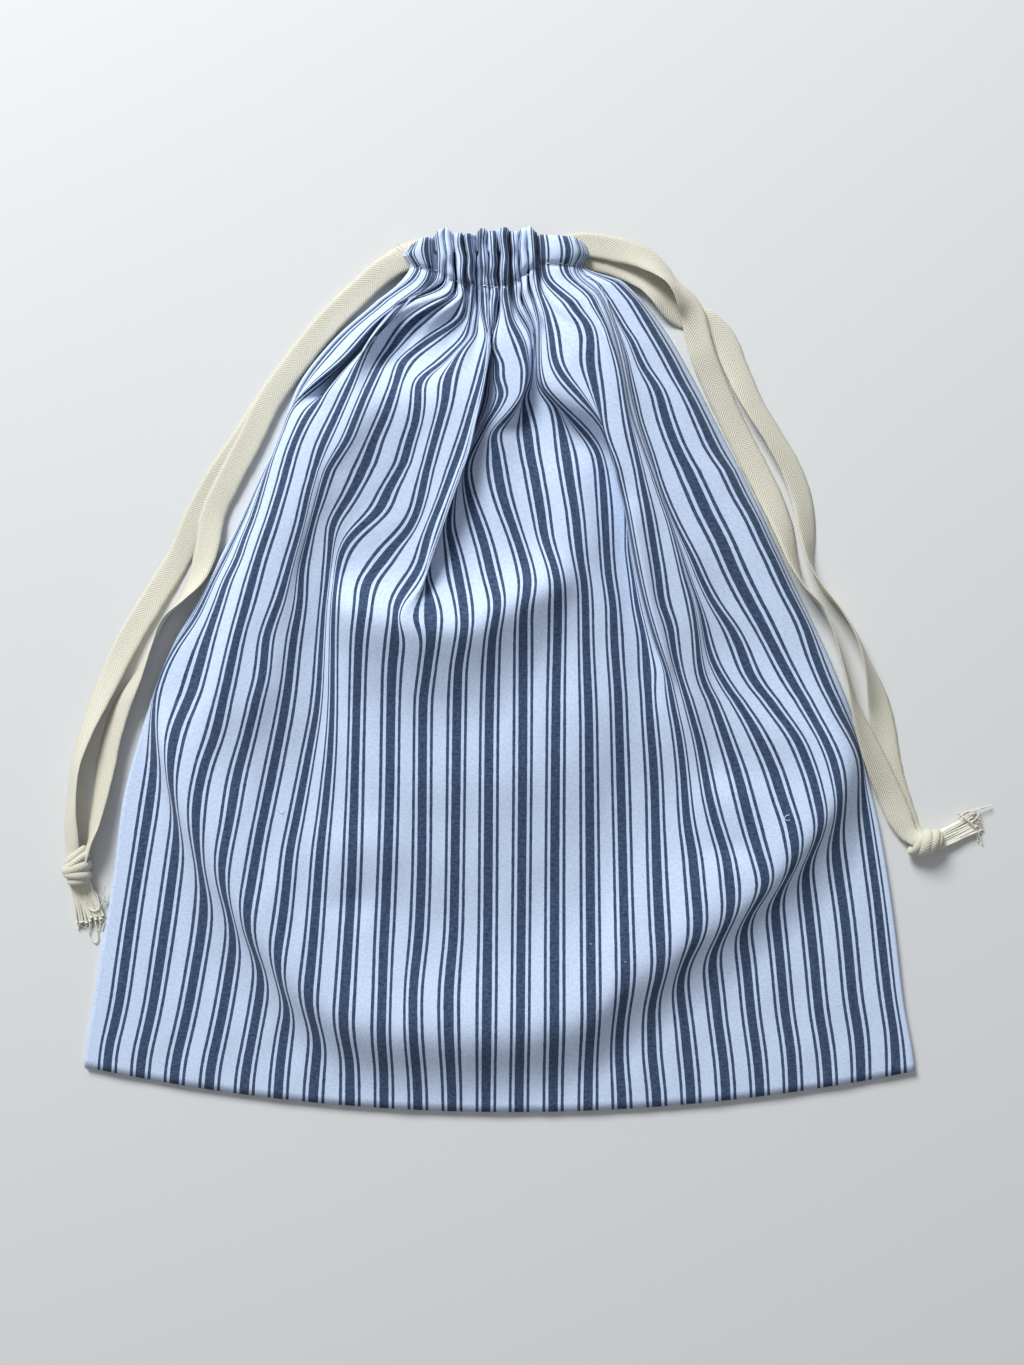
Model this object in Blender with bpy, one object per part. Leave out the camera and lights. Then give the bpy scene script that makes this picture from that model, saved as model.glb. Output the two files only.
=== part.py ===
"""Linen drawstring bread bag lying flat, drawn shut: two cloth panels, two tape drawstrings and their knots.

Metres, +Z up. The bag lies on its back panel on the plane Z = 0, with its mouth towards +Y. The
origin is under the middle of the bag's own cloth, drawstrings left out.
"""

import random
from math import cos, pi, radians, sin

import bmesh
import bpy
import numpy as np
from mathutils import Vector

# Layout grid: columns run right and rows run down, as the folds are seen from SIGHT_HEIGHT above the
# middle of the bag, so a raised point is drawn a little too far out and is pulled back by place().
GRID = 0.0004
CENTRE_COLUMN, CENTRE_ROW = 499.5, 672.2
SIGHT = Vector((0.005, -0.0041, 0.58))
MM = 0.001

CLOTH = 1.1 * MM
CASING = 1.6 * MM
GAP = 0.35 * MM
CASING_ROW = 287
TOP_ROW, HEM_ROW = 233, 1112
SEAM_HEIGHT = 2 * CLOTH + GAP

BACK_WAVE = 0.7
TAPE_WIDTH, TAPE_THICKNESS = 10 * MM, 1.0 * MM
KNOT_WRAP, KNOT_FLAT, KNOT_LIFT = 0.1, 0.85, 0.05
WRAP_TURNS, WRAP_SLANT, KNOT_BLUNT = 1.15, 0.45, 0.15

# The cloth is followed along its woven stripes, numbered 0 to 23 from the left, with half a repeat of
# cloth outside the first and last. Each line gives a stripe, its (row, column) points and its
# (row, height in mm) points above the body of the bag.
LEFT_SEAM, RIGHT_SEAM = -0.74, 23.53
STRIPES = (
    (LEFT_SEAM,
     ((1112, 84), (985, 96), (880, 113), (805, 122), (740, 139), (700, 151), (640, 175), (598, 198),
      (518, 240), (430, 281), (389, 296), (340, 333), (300, 378), (280, 401), (262, 405), (233, 410)),
     ((780, 2.5), (310, 2.5), (285, 5), (265, 7.5), (233, 7.5))),
    (0,
     ((1100, 107), (900, 134), (760, 154), (700, 158), (640, 180), (600, 206), (520, 244), (440, 281),
      (389, 301), (340, 338), (300, 384), (280, 407), (262, 411), (233, 416)),
     ((780, 6), (640, 8), (440, 9), (300, 9), (262, 10), (233, 10))),
    (1,
     ((1100, 140), (900, 169), (800, 182), (740, 184), (700, 197), (640, 211), (600, 224), (520, 253),
      (440, 281), (395, 302), (360, 344), (320, 380), (285, 420), (262, 428), (233, 430)),
     ((780, 9.5), (640, 11.5), (560, 13), (480, 14.5), (400, 16), (350, 14.5), (300, 12.5), (262, 12),
      (233, 12))),
    (2,
     ((1100, 174), (885, 206), (800, 209), (740, 221), (640, 239), (560, 259), (480, 284), (430, 300),
      (380, 335), (340, 372), (300, 411), (262, 437), (233, 438)),
     ((780, 12.5), (700, 15.5), (640, 17), (560, 19), (480, 20.5), (440, 20.5), (400, 18.5), (350, 14.5),
      (300, 12.5), (262, 13), (233, 12))),
    (3,
     ((1100, 209), (940, 234), (820, 241), (740, 252), (672, 266), (600, 281), (520, 303), (470, 315),
      (405, 341), (360, 360), (320, 385), (290, 428), (262, 446), (233, 446)),
     ((780, 13.5), (700, 15.5), (640, 17), (560, 19.5), (480, 22), (400, 21), (350, 17.5), (320, 14.5),
      (300, 12.5), (262, 13), (233, 12))),
    (4,
     ((1100, 244), (960, 264), (840, 269), (740, 283), (640, 295), (548, 307), (473, 327), (420, 355),
      (380, 372), (345, 395), (313, 423), (292, 452), (262, 455), (233, 454)),
     ((780, 12.3), (700, 13.5), (640, 14.5), (560, 16.5), (480, 19), (400, 21), (365, 19.5), (350, 15.8),
      (335, 10.8), (320, 8.8), (300, 8.8), (262, 13), (233, 12))),
    (5,
     ((1100, 278), (1000, 291), (860, 297), (760, 311), (640, 323), (560, 330), (512, 337), (490, 353),
      (415, 385), (375, 399), (347, 420), (318, 461), (285, 466), (233, 461)),
     ((780, 11.3), (700, 11.8), (640, 12.4), (560, 14.2), (480, 16.5), (400, 18.5), (365, 17.5),
      (350, 14.2), (335, 10.2), (320, 8.6), (300, 8.6), (262, 13), (233, 12))),
    (6,
     ((1100, 313), (1000, 320), (860, 323), (740, 332), (590, 335), (547, 343), (510, 380), (465, 403),
      (400, 418), (375, 424), (350, 455), (320, 470), (285, 472), (233, 468)),
     ((780, 12), (700, 12.6), (660, 14), (620, 18), (600, 20), (580, 18), (560, 17), (480, 18), (400, 19),
      (365, 18), (350, 15), (335, 11.4), (320, 9.2), (300, 9.2), (262, 13), (233, 12))),
    (7,
     ((1100, 350), (900, 353), (740, 357), (607, 363), (567, 378), (533, 407), (473, 426), (400, 445),
      (347, 463), (310, 477), (262, 477), (233, 475)),
     ((780, 13.2), (720, 13.6), (680, 16.5), (645, 20), (620, 23), (606, 24.2), (588, 21), (570, 18.8),
      (500, 19.4), (440, 20.2), (400, 20.5), (350, 17.5), (320, 15), (300, 13.5), (262, 13), (233, 12))),
    (8,
     ((1100, 384), (800, 390), (607, 396), (567, 420), (510, 437), (430, 466), (365, 482), (320, 486),
      (290, 483), (233, 482)),
     ((780, 13.6), (735, 13.5), (700, 16), (655, 20.5), (630, 23.5), (611, 26), (595, 23.6), (578, 21.6),
      (560, 20.6), (500, 20.6), (440, 21.6), (400, 22), (350, 19), (300, 15), (262, 13), (233, 12))),
    (9,
     ((1100, 418), (864, 422), (704, 423), (632, 432), (590, 428), (540, 441), (452, 470), (360, 489),
      (290, 489), (233, 488)),
     ((780, 13.6), (740, 13.3), (710, 15), (670, 19), (645, 22), (622, 25.5), (606, 23.8), (590, 22),
      (560, 20), (520, 18), (460, 16.5), (380, 14.5), (300, 13), (233, 12))),
    (10,
     ((1100, 452), (800, 456), (672, 458), (622, 465), (573, 458), (527, 449), (452, 472), (360, 491),
      (290, 494), (233, 494)),
     ((780, 13.6), (735, 13.3), (705, 15), (665, 19), (642, 22), (622, 25.5), (605, 23.4), (588, 21.2),
      (560, 19.2), (500, 17), (440, 15), (340, 13), (262, 13), (233, 12))),
    (11,
     ((1100, 486), (736, 489), (603, 498), (540, 483), (473, 468), (455, 473), (422, 488), (390, 500),
      (347, 494), (300, 498), (233, 500)),
     ((780, 13.8), (720, 13.5), (685, 16), (650, 19), (625, 21.5), (603, 24.5), (588, 22.3), (570, 20.3),
      (545, 19), (500, 17), (465, 16), (430, 18), (400, 18.5), (330, 15.5), (285, 14), (233, 12))),
    (12,
     ((1100, 519), (672, 523), (582, 528), (527, 513), (473, 498), (435, 495), (392, 522), (365, 526),
      (337, 520), (297, 505), (233, 506)),
     ((780, 14), (700, 14), (660, 16), (630, 18.5), (608, 21), (590, 24), (575, 21.8), (558, 20.2),
      (530, 19), (490, 17.3), (450, 16), (425, 16), (395, 17.5), (337, 16), (285, 14), (233, 12))),
    (13,
     ((1100, 553), (700, 556), (587, 558), (507, 540), (430, 527), (380, 531), (320, 530), (285, 512),
      (233, 512)),
     ((780, 14.3), (690, 14.5), (640, 16.5), (600, 19.5), (570, 22.5), (540, 20.5), (490, 17.5),
      (405, 12), (350, 10.5), (285, 13), (233, 12))),
    (14,
     ((1100, 588), (736, 589), (640, 586), (557, 580), (448, 565), (405, 552), (370, 537), (300, 530),
      (262, 518), (233, 518)),
     ((780, 15.2), (660, 15.5), (600, 17), (540, 17.5), (480, 16), (405, 11.5), (350, 10.5), (285, 13),
      (233, 12))),
    (15,
     ((1100, 620), (900, 622), (672, 616), (573, 608), (473, 602), (441, 590), (400, 555), (380, 543),
      (300, 538), (262, 526), (233, 525)),
     ((780, 14.5), (680, 14), (600, 14), (540, 14), (470, 13), (430, 14), (390, 18.5), (330, 16.5),
      (285, 14), (262, 13), (233, 12))),
    (16,
     ((1100, 655), (1000, 651), (860, 654), (704, 648), (578, 633), (500, 617), (432, 603), (400, 584),
      (362, 555), (300, 545), (262, 535), (233, 533)),
     ((780, 13.5), (700, 12), (640, 11), (560, 10.5), (480, 12), (436, 20), (400, 22.5), (350, 19),
      (300, 15), (262, 13), (233, 12))),
    (17,
     ((1100, 690), (960, 678), (860, 685), (780, 680), (704, 671), (643, 656), (573, 639), (480, 621),
      (420, 603), (360, 591), (323, 587), (285, 558), (262, 548), (233, 545)),
     ((780, 13), (675, 14), (600, 16.5), (515, 21), (457, 24), (360, 22.5), (323, 19.5), (285, 15.5),
      (262, 13), (233, 12))),
    (18,
     ((1100, 726), (935, 710), (860, 713), (760, 697), (675, 677), (603, 660), (512, 648), (430, 631),
      (357, 617), (313, 600), (280, 580), (262, 568), (233, 560)),
     ((780, 13), (700, 14.5), (640, 17), (600, 19), (540, 20.8), (500, 22), (400, 22.5), (330, 19.5),
      (285, 15.5), (262, 13), (233, 12))),
    (19.5,
     ((1100, 777), (950, 764), (870, 759), (800, 752), (740, 733), (700, 716), (660, 701), (600, 693),
      (540, 676), (480, 656), (400, 631), (320, 611), (285, 593), (262, 575), (233, 568)),
     ((780, 15.2), (740, 13.6), (700, 11.7), (660, 13), (600, 17), (540, 19.2), (480, 20), (400, 19.8),
      (300, 14.2), (262, 12), (233, 11))),
    (21,
     ((1100, 828), (870, 803), (800, 803), (740, 788), (680, 750), (640, 732), (582, 701), (515, 671),
      (455, 651), (400, 635), (340, 622), (285, 600), (262, 580), (233, 573)),
     ((780, 16.8), (740, 14.8), (700, 11.4), (660, 10.6), (600, 13.8), (540, 17.2), (480, 17.8),
      (400, 17), (320, 14), (262, 11.5), (233, 11))),
    (22,
     ((1100, 861), (840, 834), (740, 819), (672, 784), (593, 744), (515, 708), (440, 674), (385, 655),
      (338, 631), (285, 605), (262, 584), (233, 577)),
     ((780, 15.4), (740, 13.4), (700, 10.6), (660, 9.4), (600, 10.8), (540, 12.6), (440, 13.6), (345, 13),
      (285, 12), (262, 10.5), (233, 10))),
    (23,
     ((1100, 896), (920, 880), (800, 864), (740, 850), (680, 823), (603, 793), (517, 752), (443, 712),
      (380, 681), (325, 650), (280, 615), (262, 590), (233, 581)),
     ((780, 9), (720, 8), (650, 6.5), (560, 7.5), (480, 8.5), (360, 10), (300, 10), (262, 9), (233, 9))),
    (RIGHT_SEAM,
     ((1112, 915), (1009, 904), (921, 894), (827, 879), (777, 867), (734, 858), (660, 830), (580, 792),
      (500, 755), (421, 715), (371, 689), (327, 663), (295, 637), (277, 618), (262, 596), (233, 585)),
     ((780, 2.5), (310, 2.5), (285, 5), (265, 7.5), (233, 7.5))),
)

# Crease where the flat corners and hem rise into the full body: stripe and row.
CREASE = (
    (LEFT_SEAM, 725), (0, 745), (1, 800), (2, 860), (3, 903), (4, 945), (5, 985), (6, 1018), (7, 1040),
    (8, 1050), (11, 1054), (14, 1036), (15, 1012), (16, 985), (17, 958), (18, 932), (20, 878), (21, 848),
    (22, 818), (23, 780), (RIGHT_SEAM, 755),
)
CREASE_FOOT, CREASE_FOOT_ROWS = 3.0, 26
# Rise of the cloth across the crease: rows above the crease, and height (mm) over the flat hem. A welt
# follows the crease, and the body dips behind it.
BODY_RISE = (
    (-62, 0), (-42, 1.2), (-24, 3.3), (-9, 6.2), (4, 9.5), (14, 11.6), (24, 12.2), (45, 11.1), (70, 9.1),
    (100, 7.1), (130, 6.4), (170, 7.3), (220, 9.4), (280, 11.4), (360, 12.5), (620, 12.5),
)
BODY_ROWS = (690, 790)

# Gathers of the casing: how many, between which stripes, how deep (mm), and the rows they fade over.
PLEATS, PLEAT_STRIPES, PLEAT_DEPTH, PLEAT_ROWS = 8, (2, 17), 1.9, (292, 345)

# The hem's arch (rows for each column squared from its middle), and how far the ends of the casing
# slope down, past CASING_LEVEL columns either side of its middle.
HEM_ARCH, HEM_ARCH_COLUMN, HEM_ARCH_ROWS = 2.5e-4, 510, 130
CASING_MIDDLE, CASING_LEVEL, CASING_SLOPE = 488, 40, 90
TOP_DROP, TOP_DROP_ROWS = 10, 45

# Rows of the front mesh: UPPER_ROWS above the body. Below it, HEM_PARTS of the way from the hem to the
# crease, CREASE_STEPS from the crease itself, then BODY_PARTS of the way up to the upper rows.
UPPER_ROWS = (680, 655, 634, 616, 598, 572, 542, 510, 480, 455, 435, 416, 398, 378, 358, 338, 320, 304,
              292, 281, 268, 250, 233)
HEM_PARTS, CREASE_STEPS, BODY_PARTS = (0, 0.35, 0.7), (26, 11, -3, -20, -50), (0.25, 0.45, 0.65, 0.83)
BACK_ROWS = (1112, 1075, 1020, 950, 880, 810, 740, 680, 620, 560, 500, 440, 389, 345, 310, 287, 262, 233)

# Drawstring ends: layout column and row, turn of the tape about its length (degrees, 0 flat), and how
# far it is held off the plane (mm).
ROUTES = {
    "tape_left_outer": (
        (428, 249, 0, 2.4), (404, 257, 0, 2.2), (384, 270, 0, 0.6), (362, 289, 0, 0), (330, 321, 0, 0),
        (298, 362, 0, 0), (268, 402, 0, 0), (243, 440, 0, 0), (218, 478, 0, 0), (196, 518, 0, 0),
        (180, 556, 0, 0), (155, 596, 6, 0), (128, 641, 10, 0), (106, 686, 25, 0), (87, 729, 45, 0),
        (76, 764, 55, 0), (72, 800, 55, 0), (71, 828, 45, 0), (73, 849, 30, 0.8)),
    "tape_left_inner": (
        (428, 251, 0, 3.9), (404, 259, 0, 3.7), (382, 272, 0, 2.2), (362, 290, 0, 1.5), (330, 321, 0, 1.5),
        (297, 361, 0, 1.5), (269, 401, 0, 1.5), (250, 440, 0, 1.5), (230, 478, 0, 1.5), (213, 515, 0, 1.5),
        (206, 550, 15, 1.5), (198, 575, 35, 0.9), (183, 597, 65, 0.3), (165, 618, 85, 0),
        (151, 646, 75, 0), (138, 676, 60, 0), (122, 706, 35, 0), (112, 737, 30, 0), (106, 766, 30, 0),
        (100, 795, 40, 0), (94, 822, 50, 0), (86, 852, 58, 0.5)),
    "tape_right_front": (
        (562, 248, 0, 3.9), (587, 245, 0, 3.8), (613, 249, 0, 3.9), (640, 256, 15, 3.4), (661, 269, 40, 2.0),
        (674, 283, 55, 1.3), (684, 297, 35, 1.8), (692, 313, 8, 2.1), (697, 333, 0, 2.2),
        (703, 355, 0, 2.1), (713, 380, 0, 1.0), (731, 420, 0, 0), (751, 460, 0, 0), (769, 495, 10, 0),
        (784, 530, 30, 0), (795, 565, 60, 0), (804, 586, 80, 0), (821, 606, 85, 0), (832, 628, 80, 0),
        (841, 655, 75, 0), (849, 682, 70, 0), (857, 712, 55, 1.4), (869, 745, 30, 2.0),
        (880, 772, 12, 1.9), (891, 797, 0, 1.6), (901, 820, 0, 1.6), (909, 834, 0, 1.9)),
    "tape_right_back": (
        (562, 257, 0, 2.4), (589, 259, 0, 2.2), (611, 263, 0, 2.0), (631, 271, 8, 1.1), (650, 283, 20, 0.2),
        (661, 296, 25, 0), (672, 308, 12, 0), (685, 317, 0, 0), (704, 321, 0, 0), (722, 337, 0, 0),
        (735, 366, 8, 0), (752, 402, 25, 0), (773, 436, 30, 0), (791, 468, 25, 0), (802, 500, 25, 0),
        (807, 535, 40, 0), (811, 565, 70, 0), (822, 587, 85, 0), (842, 611, 80, 0), (857, 636, 75, 0),
        (868, 665, 60, 0), (875, 690, 35, 0), (880, 712, 12, 0), (884, 735, 0, 0), (889, 765, 0, 0),
        (897, 795, 0, 0), (906, 820, 0, 0), (914, 833, 0, 0.2)),
}
ROUTE_STEP = 7 * MM

# Which way the raised edge of a turned tape faces: 1 right, -1 left.
SIDE_SIGN = {"tape_left_outer": 1, "tape_left_inner": 1, "tape_right_front": -1, "tape_right_back": -1}

# Knots: layout column and row of the middle, half sizes along, across and up (mm), and heading.
KNOTS = {
    "knot_left": ((77, 868), (7.2, 5.6, 4.6), -84),
    "knot_right": ((926, 842), (6.0, 5.0, 4.4), 8),
}
# Tails past the knots: root and end (column, row), width at each (mm), threads across and threads deep.
TAILS = {
    "tail_left": ((80, 886), (87, 917), (7.4, 10.2), 11, 3),
    "tail_right": ((940, 840), (975, 824), (6.6, 8.6), 10, 7),
}
TAIL_THICKNESS, TAIL_LIFT, TAIL_CLEAR, TAIL_PARTS = 2.4 * MM, 0.8, 0.05 * MM, (0, 0.35, 0.7, 1)
THREAD_LENGTH, THREAD_JOINTS, THREAD_INSET, THREAD_TAPER = 5 * MM, 3, 0.18 * MM, 0.8
THREAD_BENDS, THREAD_LENGTHS = (-0.45, 0.45), (0.45, 1.1)
THREADS_IN, THREADS_OF = 3, 5

MATERIALS = {
    "ticking": ((0.50, 0.55, 0.67), 0.9),
    "cotton_tape": ((0.76, 0.71, 0.56), 0.85),
}


def through(places, values, at):
    """Values at the given places on smooth curves, with no added humps, through a column of values each."""
    step = np.diff(places)[:, None]
    slope = np.diff(values, axis=0) / step
    before, after = slope[:-1], slope[1:]
    same = before * after > 0
    weight_a = 2 * step[1:] + step[:-1]
    weight_b = step[1:] + 2 * step[:-1]
    safe_a, safe_b = np.where(same, before, 1), np.where(same, after, 1)
    inner = np.where(same, (weight_a + weight_b) / (weight_a / safe_a + weight_b / safe_b), 0)
    turn = np.concatenate([slope[:1], inner, slope[-1:]])
    at = np.clip(at, places[0], places[-1])
    cell = np.clip(np.searchsorted(places, at, side="right") - 1, 0, len(step) - 1)
    column = np.arange(len(at)) if values.shape[1] == len(at) else 0
    gap = step[cell, 0]
    t = (at - places[cell]) / gap
    return (
        (2 * t**3 - 3 * t**2 + 1) * values[cell, column]
        + (t**3 - 2 * t**2 + t) * gap * turn[cell, column]
        + (3 * t**2 - 2 * t**3) * values[cell + 1, column]
        + (t**3 - t**2) * gap * turn[cell + 1, column]
    )


def along_points(points, at):
    """Values at the given places on a smooth curve through (place, value) points."""
    places, values = np.array(sorted(points), float).T
    return through(places, values[:, None], at)


def ramp(value):
    t = np.clip(value, 0, 1)
    return t * t * (3 - 2 * t)


def place(column, row, height):
    """Points in metres for layout columns and rows and for heights in mm."""
    z = np.asarray(height, float) * MM
    draw_in = 1 - z / SIGHT.z
    x = SIGHT.x + ((column - CENTRE_COLUMN) * GRID - SIGHT.x) * draw_in
    y = SIGHT.y + ((CENTRE_ROW - row) * GRID - SIGHT.y) * draw_in
    return np.stack(np.broadcast_arrays(x, y, z), axis=-1)


def edge_rows(column, row):
    """Rows bent to the arched hem and to the casing's sloping ends."""
    hem = HEM_ARCH * (column - HEM_ARCH_COLUMN) ** 2 * ramp(1 - (HEM_ROW - row) / HEM_ARCH_ROWS)
    ends = np.clip((np.abs(column - CASING_MIDDLE) - CASING_LEVEL) / CASING_SLOPE, 0, 1) ** 1.5
    return row - hem + TOP_DROP * ends * ramp(1 - (row - TOP_ROW) / TOP_DROP_ROWS)


def crease_row(stripes):
    return along_points(CREASE, stripes)


def front_rows(stripes):
    """Rows of the front mesh for each stripe: they follow the crease round the body, then run level."""
    crease = crease_row(stripes)
    marks = [crease + step for step in CREASE_STEPS]
    rows = [HEM_ROW + (marks[0] - HEM_ROW) * part for part in HEM_PARTS]
    rows += marks
    rows += [marks[-1] + (UPPER_ROWS[0] - marks[-1]) * part for part in BODY_PARTS]
    rows += [np.full(len(stripes), float(row)) for row in UPPER_ROWS]
    return np.array(rows)


def front_layout(stripes, rows):
    """Column and height (mm) of the front panel's outer face at each stripe, for rows given per stripe."""
    columns, heights = np.empty(rows.shape), np.empty(rows.shape)
    crease = crease_row(stripes)
    numbers = np.array([line[0] for line in STRIPES], float)
    for i, row in enumerate(rows):
        columns[i] = through(numbers, np.array([along_points(line[1], row) for line in STRIPES]), stripes)
        folds = through(numbers, np.array([along_points(line[2], row) for line in STRIPES]), stripes)
        foot = CREASE_FOOT * ramp((HEM_ROW - row) / (HEM_ROW - crease + CREASE_FOOT_ROWS))
        body = foot + along_points(BODY_RISE, crease - row)
        upper = ramp((BODY_ROWS[1] - row) / (BODY_ROWS[1] - BODY_ROWS[0]))
        heights[i] = body * seam_taper(stripes) * (1 - upper) + folds * upper
    return columns, np.maximum(heights, SEAM_HEIGHT / MM) + pleats(stripes, rows)


def seam_taper(stripes):
    """1 over the panel, falling to 0 at its side seams."""
    return ramp(np.minimum(stripes - LEFT_SEAM, RIGHT_SEAM - stripes) / 1.3)


def pleats(stripes, rows):
    """Height (mm) that the gathers add at each row and stripe."""
    along = (stripes - PLEAT_STRIPES[0]) / (PLEAT_STRIPES[1] - PLEAT_STRIPES[0])
    window = ramp(along * PLEATS) * ramp((1 - along) * PLEATS)
    fade = ramp((PLEAT_ROWS[1] - rows) / (PLEAT_ROWS[1] - PLEAT_ROWS[0]))
    return PLEAT_DEPTH * fade * window * np.cos(2 * pi * PLEATS * along)


def normals_of(grid):
    along = np.gradient(grid, axis=0)
    across = np.gradient(grid, axis=1)
    normal = np.cross(across, along)
    return normal / np.linalg.norm(normal, axis=2, keepdims=True)


def closed_sheet(name, upper, lower, material):
    """One closed solid between two grids of points, the upper seen from above."""
    rows, columns = upper.shape[:2]
    mesh = bmesh.new()
    top = [[mesh.verts.new(p) for p in line] for line in upper]
    base = [[mesh.verts.new(p) for p in line] for line in lower]
    for i in range(rows - 1):
        for j in range(columns - 1):
            mesh.faces.new((top[i][j], top[i][j + 1], top[i + 1][j + 1], top[i + 1][j]))
            mesh.faces.new((base[i][j], base[i + 1][j], base[i + 1][j + 1], base[i][j + 1]))
    rim = [(0, j) for j in range(columns)] + [(i, columns - 1) for i in range(1, rows)]
    rim += [(rows - 1, j) for j in range(columns - 2, -1, -1)] + [(i, 0) for i in range(rows - 2, 0, -1)]
    for (i, j), (k, m) in zip(rim, rim[1:] + rim[:1]):
        mesh.faces.new((top[i][j], base[i][j], base[k][m], top[k][m]))
    bmesh.ops.recalc_face_normals(mesh, faces=mesh.faces)
    return add_object(name, mesh, material)


def add_object(name, mesh, material):
    data = bpy.data.meshes.new(name)
    mesh.to_mesh(data)
    mesh.free()
    data.materials.append(material)
    data.shade_smooth()
    data.set_sharp_from_angle(angle=radians(60))
    thing = bpy.data.objects.new(name, data)
    bpy.context.scene.collection.objects.link(thing)
    return thing


def make_material(name):
    colour, roughness = MATERIALS[name]
    material = bpy.data.materials.new(name)
    material.use_nodes = True
    shader = material.node_tree.nodes["Principled BSDF"]
    shader.inputs["Base Color"].default_value = (*colour, 1)
    shader.inputs["Roughness"].default_value = roughness
    shader.inputs["Metallic"].default_value = 0
    return material


def front_stripes():
    """Columns of the front mesh: four to each pleat, wider apart at the sides."""
    gathers = np.linspace(*PLEAT_STRIPES, 4 * PLEATS + 1)
    left = (LEFT_SEAM, -0.55, -0.3, 0.1, 0.6, 1.1, 1.6)
    right = (17.6, 18.2, 18.9, 19.6, 20.3, 21, 21.7, 22.4, 22.9, 23.25, RIGHT_SEAM)
    return np.concatenate([left, gathers, right])


def front_panel(material):
    stripes = front_stripes()
    rows = front_rows(stripes)
    columns, heights = front_layout(stripes, rows)
    for line in columns:
        line[:] = np.maximum.accumulate(line)
        line[1:-1] += 0.5 * np.arange(1, len(line) - 1) / len(line)
    upper = place(columns, edge_rows(columns, rows), heights)
    thickness = np.where(rows <= CASING_ROW, CASING, CLOTH)[..., None]
    lower = upper - normals_of(upper) * thickness
    lower[..., 2] = np.maximum(lower[..., 2], SEAM_HEIGHT - CLOTH)
    return closed_sheet("front_panel", upper, lower, material)


def back_panel(material):
    """The panel underneath: flat on the plane, gathered into low waves along its casing."""
    stripes = np.linspace(LEFT_SEAM, RIGHT_SEAM, 33)
    rows = np.repeat(np.array(BACK_ROWS, float)[:, None], len(stripes), axis=1)
    edges = [along_points(line[1], rows[:, 0])[:, None] for line in (STRIPES[0], STRIPES[-1])]
    columns = edges[0] + (edges[1] - edges[0]) * (stripes - LEFT_SEAM) / (RIGHT_SEAM - LEFT_SEAM)
    lift = BACK_WAVE * (1 + pleats(stripes, rows) / PLEAT_DEPTH)
    lift *= ramp((PLEAT_ROWS[1] - rows) / (PLEAT_ROWS[1] - PLEAT_ROWS[0])) * seam_taper(stripes)
    bent_rows = edge_rows(columns, rows)
    upper = place(columns, bent_rows, CLOTH / MM + lift)
    lower = place(columns, bent_rows, lift)
    return closed_sheet("back_panel", upper, lower, material)


def route_points(route):
    """Centre line of a tape and its turn, every ROUTE_STEP along a smooth curve through the route."""
    columns, rows, turns, lifts = np.array(route, float).T
    turns = np.radians(turns)
    rise = TAPE_WIDTH / 2 * np.sin(turns) + TAPE_THICKNESS / 2 * np.cos(turns)
    points = place(columns, rows, 0.05 + lifts + rise / MM)
    travel = np.concatenate([[0], np.cumsum(np.linalg.norm(np.diff(points, axis=0), axis=1))])
    at = np.linspace(0, travel[-1], round(travel[-1] / ROUTE_STEP) + 1)
    return np.array([catmull(travel, values, at) for values in (*points.T, turns)]).T


def catmull(places, values, at):
    """Values at the given places on a rounded curve through the points."""
    turn = np.gradient(values, places)
    cell = np.clip(np.searchsorted(places, at, side="right") - 1, 0, len(places) - 2)
    gap = places[cell + 1] - places[cell]
    t = (at - places[cell]) / gap
    return (
        (2 * t**3 - 3 * t**2 + 1) * values[cell]
        + (t**3 - 2 * t**2 + t) * gap * turn[cell]
        + (3 * t**2 - 2 * t**3) * values[cell + 1]
        + (t**3 - t**2) * gap * turn[cell + 1]
    )


def tape(name, material):
    """A flat tape of even width along its route, turned about its length as it goes."""
    route = route_points(ROUTES[name])
    points, turns = route[:, :3], route[:, 3]
    ways = np.gradient(points, axis=0)
    mesh = bmesh.new()
    rings = []
    for point, way, turn in zip(points, ways, turns):
        way = Vector(way).normalized()
        side = way.cross(Vector((0, 0, 1))).normalized()
        if side.x * SIDE_SIGN[name] < 0:
            turn = -turn
        face = side.cross(way)
        across = side * cos(turn) + face * sin(turn)
        through_tape = across.cross(way)
        half_width, half_depth = across * TAPE_WIDTH / 2, through_tape * TAPE_THICKNESS / 2
        corners = (half_width + half_depth, -half_width + half_depth, -half_width - half_depth,
                   half_width - half_depth)
        rings.append([mesh.verts.new(Vector(point) + corner) for corner in corners])
        for vert in rings[-1]:
            vert.co.z = max(vert.co.z, 0)
    for ring, after in zip(rings, rings[1:]):
        for k in range(4):
            mesh.faces.new((ring[k], ring[(k + 1) % 4], after[(k + 1) % 4], after[k]))
    mesh.faces.new(rings[0][::-1])
    mesh.faces.new(rings[-1])
    bmesh.ops.recalc_face_normals(mesh, faces=mesh.faces)
    return add_object(name, mesh, material)


def knot(name, material):
    """An overhand knot pulled tight: an egg with two rounded wraps lying slantwise round it."""
    (column, row), half_sizes, heading = KNOTS[name]
    mesh = bmesh.new()
    bmesh.ops.create_uvsphere(mesh, u_segments=24, v_segments=16, radius=1)
    for vert in mesh.verts:
        x, y, z = vert.co.z, vert.co.x, vert.co.y
        wrap = 1 + KNOT_WRAP * cos(2 * pi * (WRAP_TURNS * x + WRAP_SLANT * y))
        wrap *= max(0, 1 - x * x) ** KNOT_BLUNT
        vert.co = Vector((x * half_sizes[0], y * half_sizes[1] * wrap, z * half_sizes[2] * wrap)) * MM
        vert.co.z = max(vert.co.z, -half_sizes[2] * MM * KNOT_FLAT)
    thing = add_object(name, mesh, material)
    middle = place(column, row, half_sizes[2] * KNOT_FLAT + KNOT_LIFT)
    thing.location = Vector(middle)
    thing.rotation_euler.z = radians(heading)
    return thing


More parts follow.
